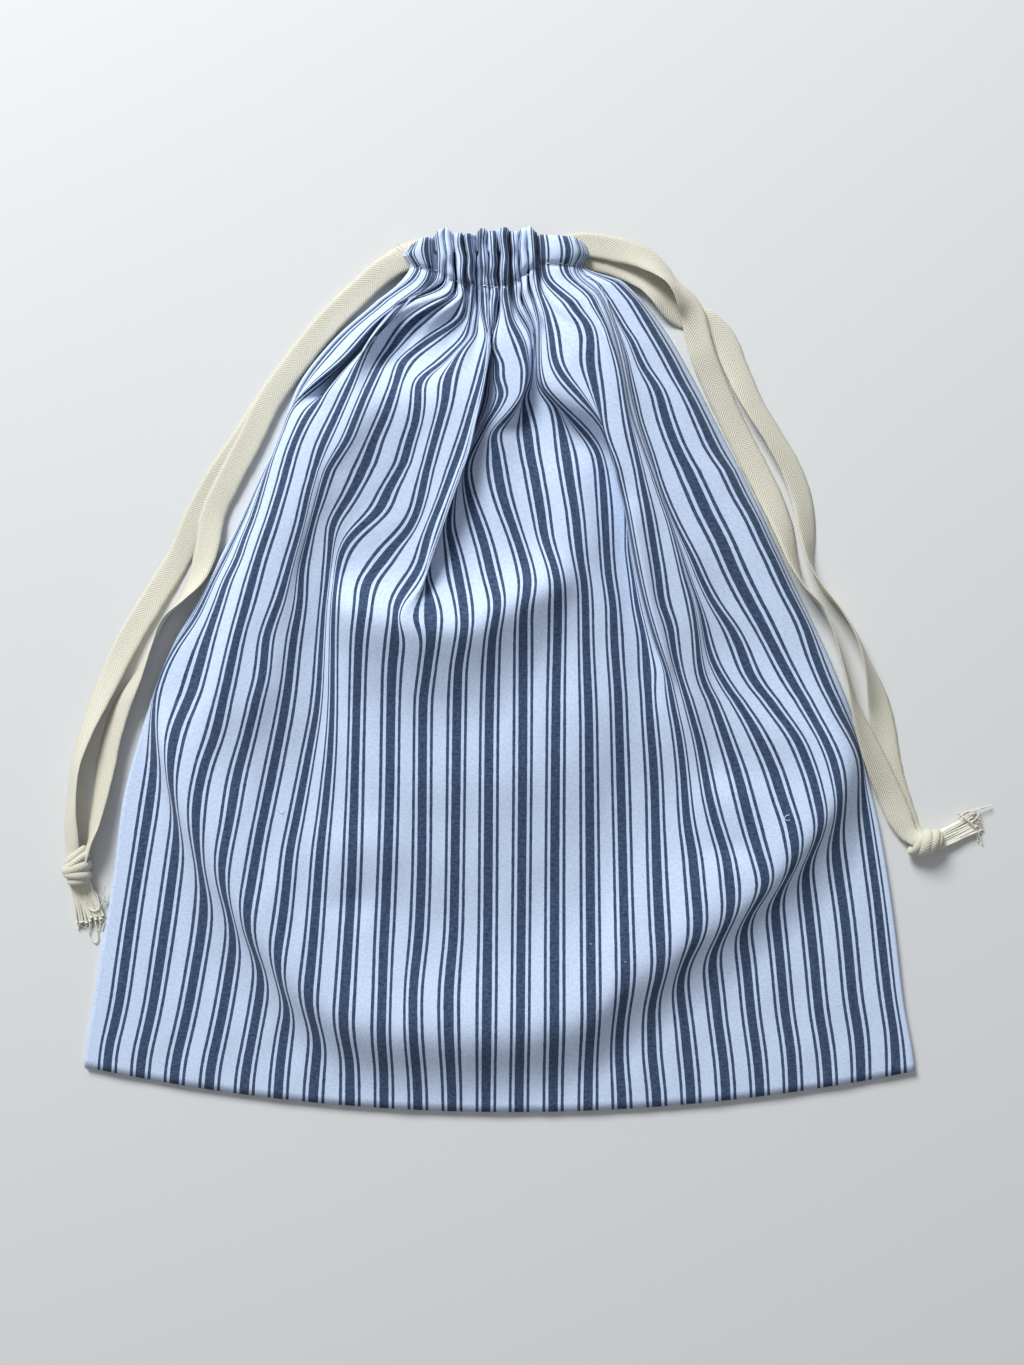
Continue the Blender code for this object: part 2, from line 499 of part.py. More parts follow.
def tail(name, material):
    """The two tape ends past a knot, laid together and frayed: threads stand out of the end face."""
    root, end, widths, across, deep = TAILS[name]
    start, stop = Vector(place(*root, 0)), Vector(place(*end, 0))
    way = (stop - start).normalized()
    side = way.cross(Vector((0, 0, 1)))
    draw = random.Random(deep)
    mesh = bmesh.new()
    sections = []
    for part in TAIL_PARTS:
        width = (widths[0] + (widths[1] - widths[0]) * part) * MM
        middle = start.lerp(stop, part) + Vector((0, 0, TAIL_CLEAR + TAIL_THICKNESS * TAIL_LIFT * (1 - part)))
        sections.append([
            [mesh.verts.new(middle + side * width * (i / across - 0.5) + Vector((0, 0, TAIL_THICKNESS * k / 2)))
             for i in range(across + 1)]
            for k in range(3)
        ])
    for near, far in zip(sections, sections[1:]):
        for i in range(across):
            mesh.faces.new((near[2][i], near[2][i + 1], far[2][i + 1], far[2][i]))
            mesh.faces.new((near[0][i + 1], near[0][i], far[0][i], far[0][i + 1]))
        for k in range(2):
            mesh.faces.new((near[k][0], near[k + 1][0], far[k + 1][0], far[k][0]))
            mesh.faces.new((near[k + 1][-1], near[k][-1], far[k][-1], far[k + 1][-1]))
    for k in range(2):
        for i in range(across):
            first, last = sections[0], sections[-1]
            mesh.faces.new((first[k][i], first[k][i + 1], first[k + 1][i + 1], first[k + 1][i]))
            face = mesh.faces.new((last[k][i + 1], last[k][i], last[k + 1][i], last[k + 1][i + 1]))
            if i % THREADS_OF < THREADS_IN:
                fray(mesh, face, way, side, draw)
    bmesh.ops.recalc_face_normals(mesh, faces=mesh.faces)
    return add_object(name, mesh, material)


def fray(mesh, root, way, side, draw):
    """One loose thread out of a small face, bending sideways and thinning to its tip."""
    bmesh.ops.inset_individual(mesh, faces=[root], thickness=THREAD_INSET)
    face = root
    bend = draw.uniform(*THREAD_BENDS)
    length = THREAD_LENGTH * draw.uniform(*THREAD_LENGTHS)
    for part in range(THREAD_JOINTS):
        face = bmesh.ops.extrude_discrete_faces(mesh, faces=[face])["faces"][0]
        step = (way + side * bend * (part + 1) / 2).normalized() * length / THREAD_JOINTS
        middle = face.calc_center_median()
        for vert in face.verts:
            vert.co = middle + (vert.co - middle) * THREAD_TAPER + step
            vert.co.z = max(vert.co.z, TAIL_CLEAR)


def main():
    for old in list(bpy.data.objects):
        bpy.data.objects.remove(old)
    cloth, cotton = make_material("ticking"), make_material("cotton_tape")
    front_panel(cloth)
    back_panel(cloth)
    for name in ROUTES:
        tape(name, cotton)
    for name in KNOTS:
        knot(name, cotton)
    for name in TAILS:
        tail(name, cotton)


main()
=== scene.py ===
import random
from math import cos, pi, radians, sin

import bpy
import numpy as np
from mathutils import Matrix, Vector, noise


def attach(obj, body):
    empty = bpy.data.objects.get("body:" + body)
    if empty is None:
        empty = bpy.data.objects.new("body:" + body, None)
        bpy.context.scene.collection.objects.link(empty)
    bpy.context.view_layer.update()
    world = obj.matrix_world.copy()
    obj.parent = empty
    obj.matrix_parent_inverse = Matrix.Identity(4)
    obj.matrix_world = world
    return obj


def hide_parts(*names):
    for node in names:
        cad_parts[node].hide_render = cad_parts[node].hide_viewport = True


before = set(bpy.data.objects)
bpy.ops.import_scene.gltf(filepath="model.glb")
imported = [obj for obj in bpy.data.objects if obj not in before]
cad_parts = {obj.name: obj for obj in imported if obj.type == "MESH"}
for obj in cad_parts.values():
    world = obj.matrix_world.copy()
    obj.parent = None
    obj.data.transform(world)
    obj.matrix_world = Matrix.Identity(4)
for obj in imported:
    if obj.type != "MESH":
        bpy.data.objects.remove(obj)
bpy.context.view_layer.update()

MM = 0.001

# Layout grid: columns run right and rows run down, as the folds are seen from SIGHT, straight above.
# One step is GRID metres on the table. place() pulls a raised point back to where it really is.
GRID = 0.0004
CENTRE_COLUMN, CENTRE_ROW = 499.5, 672.2
SIGHT = Vector((0.005, -0.0041, 0.58))
IMAGE_ROWS = 1365
SENSOR = 36

CLOTH = 0.8 * MM
TAPE_WIDTH, TAPE_THICKNESS = 10 * MM, 0.9 * MM
THREAD = 0.2 * MM
# Nothing reaches lower over the table than this.
FLOOR_GAP = 0.05 * MM


def main():
    set_view()
    cords()
    bag()
    stage()


# ---------------------------------------------------------------- helpers

def hermite(places, values, slopes, at):
    """Values at the given places on cubics that have the given values and slopes at the points."""
    cell = np.clip(np.searchsorted(places, at, side="right") - 1, 0, len(places) - 2)
    gap = places[cell + 1] - places[cell]
    t = (at - places[cell]) / gap
    return (
        (2 * t**3 - 3 * t**2 + 1) * values[cell]
        + (t**3 - 2 * t**2 + t) * gap * slopes[cell]
        + (3 * t**2 - 2 * t**3) * values[cell + 1]
        + (t**3 - t**2) * gap * slopes[cell + 1]
    )


def through(places, values, at):
    """Values at the given places on a smooth curve through the points, with no added humps."""
    step = np.diff(places)
    slope = np.diff(values) / step
    before, after = slope[:-1], slope[1:]
    same = before * after > 0
    weight_a = 2 * step[1:] + step[:-1]
    weight_b = step[1:] + 2 * step[:-1]
    safe_a, safe_b = np.where(same, before, 1), np.where(same, after, 1)
    inner = np.where(same, (weight_a + weight_b) / (weight_a / safe_a + weight_b / safe_b), 0)
    turn = np.concatenate([slope[:1], inner, slope[-1:]])
    return hermite(places, values, turn, np.clip(at, places[0], places[-1]))


def curve(points, at):
    """Values at the given places on a smooth curve through (place, value) points."""
    return through(*np.array(sorted(points), float).T, np.asarray(at, float))


def rounded(places, values, at):
    """Values at the given places on a rounded curve that may swing past its points."""
    return hermite(places, values, np.gradient(values, places), at)


def between(table, k, stripes):
    """Entry k of a table of lines that each start with their stripe, eased over the stripes between."""
    return curve([(line[0], line[k]) for line in table], stripes)


def travelled(points):
    """How far along a line of points each of them lies."""
    return np.concatenate([[0], np.cumsum(np.linalg.norm(np.diff(points, axis=0), axis=1))])


def rounded_line(points, travel, at):
    return np.array([rounded(travel, values, at) for values in points.T]).T


def axes_along(way):
    """The way of a line, the level axis across it and the axis square to both, each 1 long."""
    way = Vector(way).normalized()
    across = way.cross(Vector((0, 0, 1))).normalized()
    return way, across, across.cross(way)


def ramp(value):
    """0 up to 0, 1 from 1 on, and a smooth step between."""
    t = np.clip(value, 0, 1)
    return t * t * (3 - 2 * t)


def place(column, row, height):
    """Points in metres for layout columns and rows and for heights in mm."""
    z = np.asarray(height, float) * MM
    draw_in = 1 - z / SIGHT.z
    x = SIGHT.x + ((column - CENTRE_COLUMN) * GRID - SIGHT.x) * draw_in
    y = SIGHT.y + ((CENTRE_ROW - row) * GRID - SIGHT.y) * draw_in
    return np.stack(np.broadcast_arrays(x, y, z), axis=-1)


def soft_noise(stripes, row, wide, long, seed):
    """Smooth noise at each stripe of one row. wide is its length in stripes and long is that in rows."""
    return np.array([noise.noise(Vector((stripe / wide, row / long, seed))) for stripe in stripes])


def tube_faces(faces, start, rings, sides):
    """Faces between rings of points that follow one another, from the point numbered start."""
    for i in range(rings - 1):
        for k in range(sides):
            a, b, m = start + i * sides, start + (i + 1) * sides, (k + 1) % sides
            faces.append((a + k, a + m, b + m, b + k))


def put(name, data, location=(0, 0, 0)):
    """A new object in the scene."""
    thing = bpy.data.objects.new(name, data)
    thing.location = location
    bpy.context.scene.collection.objects.link(thing)
    return thing


def add_mesh(name, points, faces, material, uv):
    """A smooth mesh object that rides on the bag. uv gives a pair for each point."""
    mesh = bpy.data.meshes.new(name)
    mesh.from_pydata([tuple(p) for p in points], [], faces)
    mesh.materials.append(material)
    layer = mesh.uv_layers.new(name="cloth")
    index = np.empty(len(mesh.loops), int)
    mesh.loops.foreach_get("vertex_index", index)
    layer.data.foreach_set("uv", np.asarray(uv, float)[index].ravel())
    mesh.shade_smooth()
    thing = put(name, mesh)
    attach(thing, "root")
    return thing


def stand_for(node):
    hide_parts(node)


# ---------------------------------------------------------------- camera

def set_view():
    camera = bpy.data.cameras.new("overhead")
    camera.sensor_width = SENSOR
    camera.lens = SENSOR * SIGHT.z / (IMAGE_ROWS * GRID)
    bpy.context.scene.camera = put("overhead", camera, SIGHT)


# ---------------------------------------------------------------- drawstrings

# Centre line of each tape: layout column and row, turn about its length (degrees, 0 flat), lift (mm).
ROUTES = {
    "tape_left_outer": (
        (428, 249, 0, 2.4), (404, 257, 0, 2.2), (384, 270, 0, 0.6), (362, 289, 0, 0), (330, 321, 0, 0),
        (298, 362, 0, 0), (268, 402, 0, 0), (243, 440, 0, 0), (218, 478, 0, 0), (196, 518, 0, 0),
        (180, 556, 0, 0), (155, 596, 6, 0), (128, 641, 10, 0), (106, 686, 25, 0), (87, 729, 45, 0),
        (76, 764, 55, 0), (72, 800, 55, 0), (71, 828, 45, 0), (73, 849, 30, 0.8)),
    "tape_left_inner": (
        (428, 251, 0, 3.9), (404, 259, 0, 3.7), (382, 272, 0, 2.2), (362, 290, 0, 1.5),
        (330, 321, 0, 1.5), (297, 361, 0, 1.5), (269, 401, 0, 1.5), (250, 440, 0, 1.5),
        (230, 478, 0, 1.5), (213, 515, 0, 1.5), (206, 550, 15, 1.5), (198, 575, 35, 0.9),
        (183, 597, 65, 0.3), (165, 618, 85, 0), (151, 646, 75, 0), (138, 676, 60, 0), (122, 706, 35, 0),
        (112, 737, 30, 0), (106, 766, 30, 0), (100, 795, 40, 0), (94, 822, 50, 0), (86, 852, 58, 0.5)),
    "tape_right_front": (
        (562, 248, 0, 3.9), (587, 245, 0, 3.8), (613, 249, 0, 3.9), (640, 256, 15, 3.4),
        (661, 269, 40, 2.0), (674, 283, 55, 1.3), (684, 297, 35, 1.8), (692, 313, 8, 2.1),
        (697, 333, 0, 2.2), (703, 355, 0, 2.1), (713, 380, 0, 1.0), (731, 420, 0, 0), (751, 460, 0, 0),
        (769, 495, 10, 0), (784, 530, 30, 0), (795, 565, 60, 0), (804, 586, 80, 0), (821, 606, 85, 0),
        (832, 628, 80, 0), (841, 655, 75, 0), (849, 682, 70, 0), (857, 712, 55, 1.4),
        (869, 745, 30, 2.0), (880, 772, 12, 1.9), (891, 797, 0, 1.6), (901, 820, 0, 1.6),
        (909, 834, 0, 1.9)),
    "tape_right_back": (
        (562, 257, 0, 2.4), (589, 259, 0, 2.2), (611, 263, 0, 2.0), (631, 271, 8, 1.1),
        (650, 283, 20, 0.2), (661, 296, 25, 0), (672, 308, 12, 0), (685, 317, 0, 0), (704, 321, 0, 0),
        (722, 337, 0, 0), (735, 366, 8, 0), (752, 402, 25, 0), (773, 436, 30, 0), (791, 468, 25, 0),
        (802, 500, 25, 0), (807, 535, 40, 0), (811, 565, 70, 0), (822, 587, 85, 0), (842, 611, 80, 0),
        (857, 636, 75, 0), (868, 665, 60, 0), (875, 690, 35, 0), (880, 712, 12, 0), (884, 735, 0, 0),
        (889, 765, 0, 0), (897, 795, 0, 0), (906, 820, 0, 0), (914, 833, 0, 0.2)),
}
# Which way the raised edge of a turned tape faces: 1 right, -1 left.
RAISED_EDGE = {"left": 1, "right": -1}
# Where each tape ends inside its knot: column, row, turn and lift.
TAPE_ENDS = {
    "tape_left_outer": (76, 861, 0, 3.0), "tape_left_inner": (80, 862, 20, 3.2),
    "tape_right_front": (919, 841, 0, 3.2), "tape_right_back": (922, 840, 0, 1.8),
}
# How a tape is squeezed on its way into the knot: share of its width, and length.
SQUEEZE, SQUEEZE_LENGTH = 0.42, 13 * MM
ROUTE_STEP = 1.6 * MM
TAPE_COLUMNS = 9
TAPE_LIFT = 0.08
# Rounding of the selvedges: power of the outline, and least share of the thickness at the edge.
SELVEDGE_POWER, SELVEDGE = 6, 0.2
# Waves of its width along a tape: share of the width, and radians to a metre. Each starts at a phase
# between 0 and MOST_PHASE.
EDGE_WAVES, MOST_PHASE = ((0.012, 900), (0.01, 420)), 6
# How the tape cups over its width: depth, radians to a metre, and where over the width it is level.
CUP, CUP_WAVE, CUP_LEVEL = 0.25 * MM, 95, 0.4


def cords():
    material = tape_material()
    strands = strand_material()
    knots = {side: knot(side, material) for side in ("left", "right")}
    tails = {side: tail(side, strands) for side in ("left", "right")}
    for name, route in ROUTES.items():
        side = name.split("_")[1]
        ribbon, path = tape(name, side, (*route, TAPE_ENDS[name]), material)
        stand_for(name)


def tape(name, side, route, material):
    """A flat woven tape with rounded selvedges, turned about its length as it goes, and its centre line."""
    columns, rows, turns, lifts = np.array(route, float).T
    turns = np.radians(turns)
    rise = TAPE_WIDTH / 2 * np.sin(turns) + TAPE_THICKNESS / 2 * np.cos(turns)
    points = place(columns, rows, TAPE_LIFT + lifts + rise / MM)
    travel = travelled(points)
    at = np.linspace(0, travel[-1], round(travel[-1] / ROUTE_STEP) + 1)
    path = rounded_line(points, travel, at)
    turns = rounded(travel, turns, at)
    across = np.linspace(-1, 1, TAPE_COLUMNS)
    round_off = np.sqrt(np.clip(1 - np.abs(across) ** SELVEDGE_POWER, SELVEDGE**2, 1))
    draw = random.Random(name)
    *phases, cup_phase = [draw.uniform(0, MOST_PHASE) for _ in range(3)]
    verts, uv = [], []
    for point, way, turn, s in zip(path, np.gradient(path, axis=0), turns, at):
        way, level, face = axes_along(way)
        if level.x * RAISED_EDGE[side] < 0:
            turn = -turn
        wide = level * cos(turn) + face * sin(turn)
        deep = wide.cross(way)
        edge = 1 + sum(size * sin(s * wave + phase) for (size, wave), phase in zip(EDGE_WAVES, phases))
        edge -= SQUEEZE * ramp((s - at[-1] + SQUEEZE_LENGTH) / SQUEEZE_LENGTH)
        cup = CUP * sin(s * CUP_WAVE + cup_phase)
        for layer in (1, -1):
            for a, thick in zip(across, round_off):
                p = Vector(point) + wide * (a * TAPE_WIDTH / 2 * edge)
                p += deep * (layer * TAPE_THICKNESS / 2 * thick + cup * (a * a - CUP_LEVEL))
                p.z = max(p.z, FLOOR_GAP)
                verts.append(p)
                uv.append((a * TAPE_WIDTH / 2, s))
    ring = 2 * TAPE_COLUMNS
    order = [*range(TAPE_COLUMNS), *reversed(range(TAPE_COLUMNS, ring))]
    faces = []
    for i in range(len(path) - 1):
        for a, b in zip(order, order[1:] + order[:1]):
            faces.append((i * ring + a, i * ring + b, (i + 1) * ring + b, (i + 1) * ring + a))
    faces.append(order[::-1])
    faces.append([(len(path) - 1) * ring + a for a in order])
    return add_mesh(name + "_cloth", verts, faces, material, uv), path


# Knots: layout column and row of the middle, half sizes along, across and up (mm), and heading (degrees).
KNOTS = {
    "left": ((77, 868), (7.2, 5.6, 4.6), -84),
    "right": ((926, 842), (6.0, 5.0, 4.4), 8),
}
# The wound tape on each knot: place along it (mm), slant (degrees), half width and half depth (mm).
KNOT_WRAPS = {
    "left": ((-4.7, -26, 1.7, 1.0), (-2.3, -30, 1.6, 1.2), (-0.2, -8, 1.9, 1.2), (2.4, 8, 1.7, 1.1),
             (4.9, 2, 1.6, 0.8)),
    "right": ((-3.6, 27, 2.0, 1.1), (-0.6, 18, 2.3, 1.3), (2.3, 20, 2.0, 1.0), (4.4, 8, 1.7, 0.7)),
}
# Size of a knot's core and height at which the knot lies flat, as shares of the half sizes, its lift over
# the table (mm), steps along the core, points round the knot, and points round the tape of a turn.
KNOT_CORE, KNOT_FLAT, KNOT_LIFT, CORE_STEPS, KNOT_SIDES, TURN_SIDES = 0.88, 0.88, 0.1, 14, 40, 14
# A turn's least radius, as a share of the knot's, and how deep it lies across and up, in its own depths.
TURN_LEAST, TURN_SUNK = 0.5, (0.7, 0.6)
# Tape between two points of the core and of a turn, along and round.
CORE_CLOTH, TURN_CLOTH = (0.5 * MM, 0.8 * MM), (0.45 * MM, 0.9 * MM)


def knot(side, material):
    """An overhand knot: a core, and wide turns of tape wound over it."""
    (column, row), half, heading = KNOTS[side]
    verts, faces, uv = [], [], []
    for i in range(CORE_STEPS + 1):
        t = pi * i / CORE_STEPS
        for j in range(KNOT_SIDES):
            a = 2 * pi * j / KNOT_SIDES
            verts.append([-cos(t) * half[0] * KNOT_CORE, sin(t) * cos(a) * half[1] * KNOT_CORE,
                          sin(t) * sin(a) * half[2] * KNOT_CORE])
            uv.append((i * CORE_CLOTH[0], j * CORE_CLOTH[1]))
    tube_faces(faces, 0, CORE_STEPS + 1, KNOT_SIDES)
    for shift, tilt, wide, deep in KNOT_WRAPS[side]:
        start = len(verts)
        radius = max(TURN_LEAST**2, 1 - (shift / half[0]) ** 2) ** 0.5
        ry, rz = [half[k + 1] * radius - deep * TURN_SUNK[k] for k in (0, 1)]
        for j in range(KNOT_SIDES + 1):
            a = 2 * pi * j / KNOT_SIDES
            lean = shift + half[1] * sin(radians(tilt)) * cos(a)
            for k in range(TURN_SIDES):
                b = 2 * pi * k / TURN_SIDES
                out = deep * sin(b)
                verts.append([lean + wide * cos(b), cos(a) * (ry + out), sin(a) * (rz + out)])
                uv.append((k * TURN_CLOTH[0], j * TURN_CLOTH[1]))
        tube_faces(faces, start, KNOT_SIDES + 1, TURN_SIDES)
    turn, flat = radians(heading), half[2] * KNOT_FLAT
    x, y, z = np.array(verts).T
    turned = x * cos(turn) - y * sin(turn), x * sin(turn) + y * cos(turn), np.maximum(z, -flat)
    points = place(column, row, flat + KNOT_LIFT) + np.stack(turned, axis=1) * MM
    thing = add_mesh("knot_" + side + "_wraps", points, faces, material, uv)
    stand_for("knot_" + side)
    return thing


# A strand's radius, the spacing of its rings, and the least number of them.
STRAND, STRAND_STEP, STRAND_RINGS = 0.68 * MM, 0.8 * MM, 5


def strand(piece, path, radius, tip, sides):
    """A round thread along a smooth line through (column, row, height) points, thinning to its tip."""
    verts, faces, uv = piece
    points = place(*np.array(path, float).T)
    travel = travelled(points)
    at = np.linspace(0, travel[-1], max(STRAND_RINGS, round(travel[-1] / STRAND_STEP)))
    line = rounded_line(points, travel, at)
    base = len(verts)
    for point, way, s in zip(line, np.gradient(line, axis=0), at):
        _, across, up = axes_along(way)
        thick = radius * (1 - (1 - tip) * s / at[-1])
        for k in range(sides):
            a = 2 * pi * k / sides
            corner = Vector(point) + (across * cos(a) + up * sin(a)) * thick
            corner.z = max(corner.z, FLOOR_GAP)
            verts.append(corner)
            uv.append((k * radius, s))
    tube_faces(faces, base, len(line), sides)
    faces.append([base + k for k in range(sides)])
    faces.append([len(verts) - 1 - k for k in range(sides)])


# Tails past the knots: root and end (column, row), width at each (mm), strands across, and slant of the
# strands' twist (columns).
TAILS = {
    "left": ((79.5, 879), (91, 919), (7.2, 11.6), 10, 0.0),
    "right": ((935, 841), (975, 824), (5.4, 8.2), 8, 3.0),
}
# The strands lie in two layers, at these heights (mm), the upper one shifted by this share of a strand.
LAYERS, LAYER_SHIFT = (0.75, 1.9), 0.3
# Stops along a tail, and how much higher it starts in the knot (mm).
TAIL_STOPS, ROOT_RISE = (0, 0.35, 0.7, 1), 1.1
# How strands differ: share of the length, columns sideways, mm up.
LENGTH_STRAY, STRAND_STRAY, LIFT_STRAY = (0.94, 1.07), 1.1, 0.25
# Threads that fray from each strand: how many, length and tuck in columns, bend as a share of the
# length, share of the height that they drop, and least height (mm).
FRAYS, FRAY, FRAY_TUCK, FRAY_SPREAD, FRAY_DROP, FRAY_FLOOR = 4, (3, 9), 2, 0.9, (0.3, 1), 0.4
STRAY_THREAD = 1.4 * THREAD
# Single threads that stray from the tails: (column, row, height in mm) points.
STRAYS = {
    "left": (
        ((88, 914, 1.4), (90, 926, 1.2), (89, 933, 0.8), (92, 940, 0.6), (96, 943, 0.6), (98, 939, 0.7),
         (97, 932, 0.9), (96, 924, 1.2), (95, 915, 1.5)),
        ((101, 905, 1.6), (105, 899, 2.2), (103, 893, 2.8), (105, 887, 3.2)),
        ((86, 905, 2.5), (93, 911, 2.9), (99, 909, 2.9), (98, 899, 2.8), (95, 891, 2.6)),
        ((104, 914, 1.2), (106, 920, 0.9), (103, 926, 0.7), (102, 930, 0.5)),
        ((100, 916, 1.2), (100, 925, 0.8), (99, 931, 0.5)),
        ((82, 920, 1.0), (80, 925, 0.6), (78, 929, 0.4)),
        ((103, 900, 1.5), (107, 902, 1.0), (109, 901, 0.8)),
    ),
    "right": (
        ((958, 819, 3.0), (966, 812, 3.4), (974, 811, 2.8), (981, 808, 2.2), (986, 807, 1.8),
         (992, 805, 1.5)),
        ((958, 818, 3.2), (967, 813, 3.0), (975, 809, 2.4), (983, 808, 1.9), (990, 806, 1.7)),
        ((958, 814, 3.4), (966, 819, 3.8), (973, 825, 3.4), (978, 833, 2.2), (982, 844, 0.8)),
        ((960, 816, 3.6), (969, 821, 3.6), (976, 829, 2.6), (980, 838, 1.2), (981, 843, 0.7)),
        ((967, 820, 3.4), (974, 829, 2.6), (977, 836, 1.4), (978, 841, 0.8)),
        ((972, 822, 2.6), (978, 816, 2.8), (979, 813, 2.4)),
    ),
}


def tail(side, material):
    """The two tape ends past a knot: strands side by side in two layers, fraying into threads."""
    root, end, widths, across, twist = TAILS[side]
    root, end = np.array(root, float), np.array(end, float)
    way = (end - root) / np.linalg.norm(end - root)
    over = np.array([-way[1], way[0]])
    draw = random.Random(side)
    piece = [], [], []
    for layer, level in enumerate(LAYERS):
        for k in range(across):
            a = (k + 0.5) / across - 0.5 + layer * LAYER_SHIFT / across
            path = []
            for t in TAIL_STOPS:
                width = (widths[0] + (widths[1] - widths[0]) * t) * MM / GRID
                along = root + (end - root) * t * draw.uniform(*LENGTH_STRAY)
                astray = a * width + draw.uniform(-STRAND_STRAY, STRAND_STRAY) * t
                spot = along + over * (astray + twist * (t - 0.5) * (1 - 2 * layer))
                lift = level + ROOT_RISE * (1 - t) ** 2 + draw.uniform(-LIFT_STRAY, LIFT_STRAY)
                path.append((*spot, lift))
            strand(piece, path, STRAND, tip=0.8, sides=8)
            for _ in range(FRAYS):
                tip = end + over * (a * widths[1] * MM / GRID + draw.uniform(-1, 1)) - way * FRAY_TUCK
                bend = over * draw.uniform(-1, 1) * FRAY_SPREAD
                length = draw.uniform(*FRAY)
                drop = draw.uniform(*FRAY_DROP)
                fray = [(*(tip + (way + bend * t) * length * t), max(FRAY_FLOOR, level * (1 - drop * t)))
                        for t in (0, 0.5, 1)]
                strand(piece, fray, THREAD, tip=0.6, sides=4)
    for path in STRAYS[side]:
        strand(piece, path, STRAY_THREAD, tip=0.8, sides=6)
    thing = add_mesh("tail_" + side + "_frayed", *piece[:2], material, piece[2])
    stand_for("tail_" + side)
    return thing


# ---------------------------------------------------------------- the bag

# The cloth is followed along its woven stripes, numbered 0 to 23 from the left, with half a repeat
# outside the first and last: stripe, (row, column) points, (row, height in mm) points above the body.
REPEAT = 13.6 * MM
LEFT_SEAM, RIGHT_SEAM = -0.74, 23.53
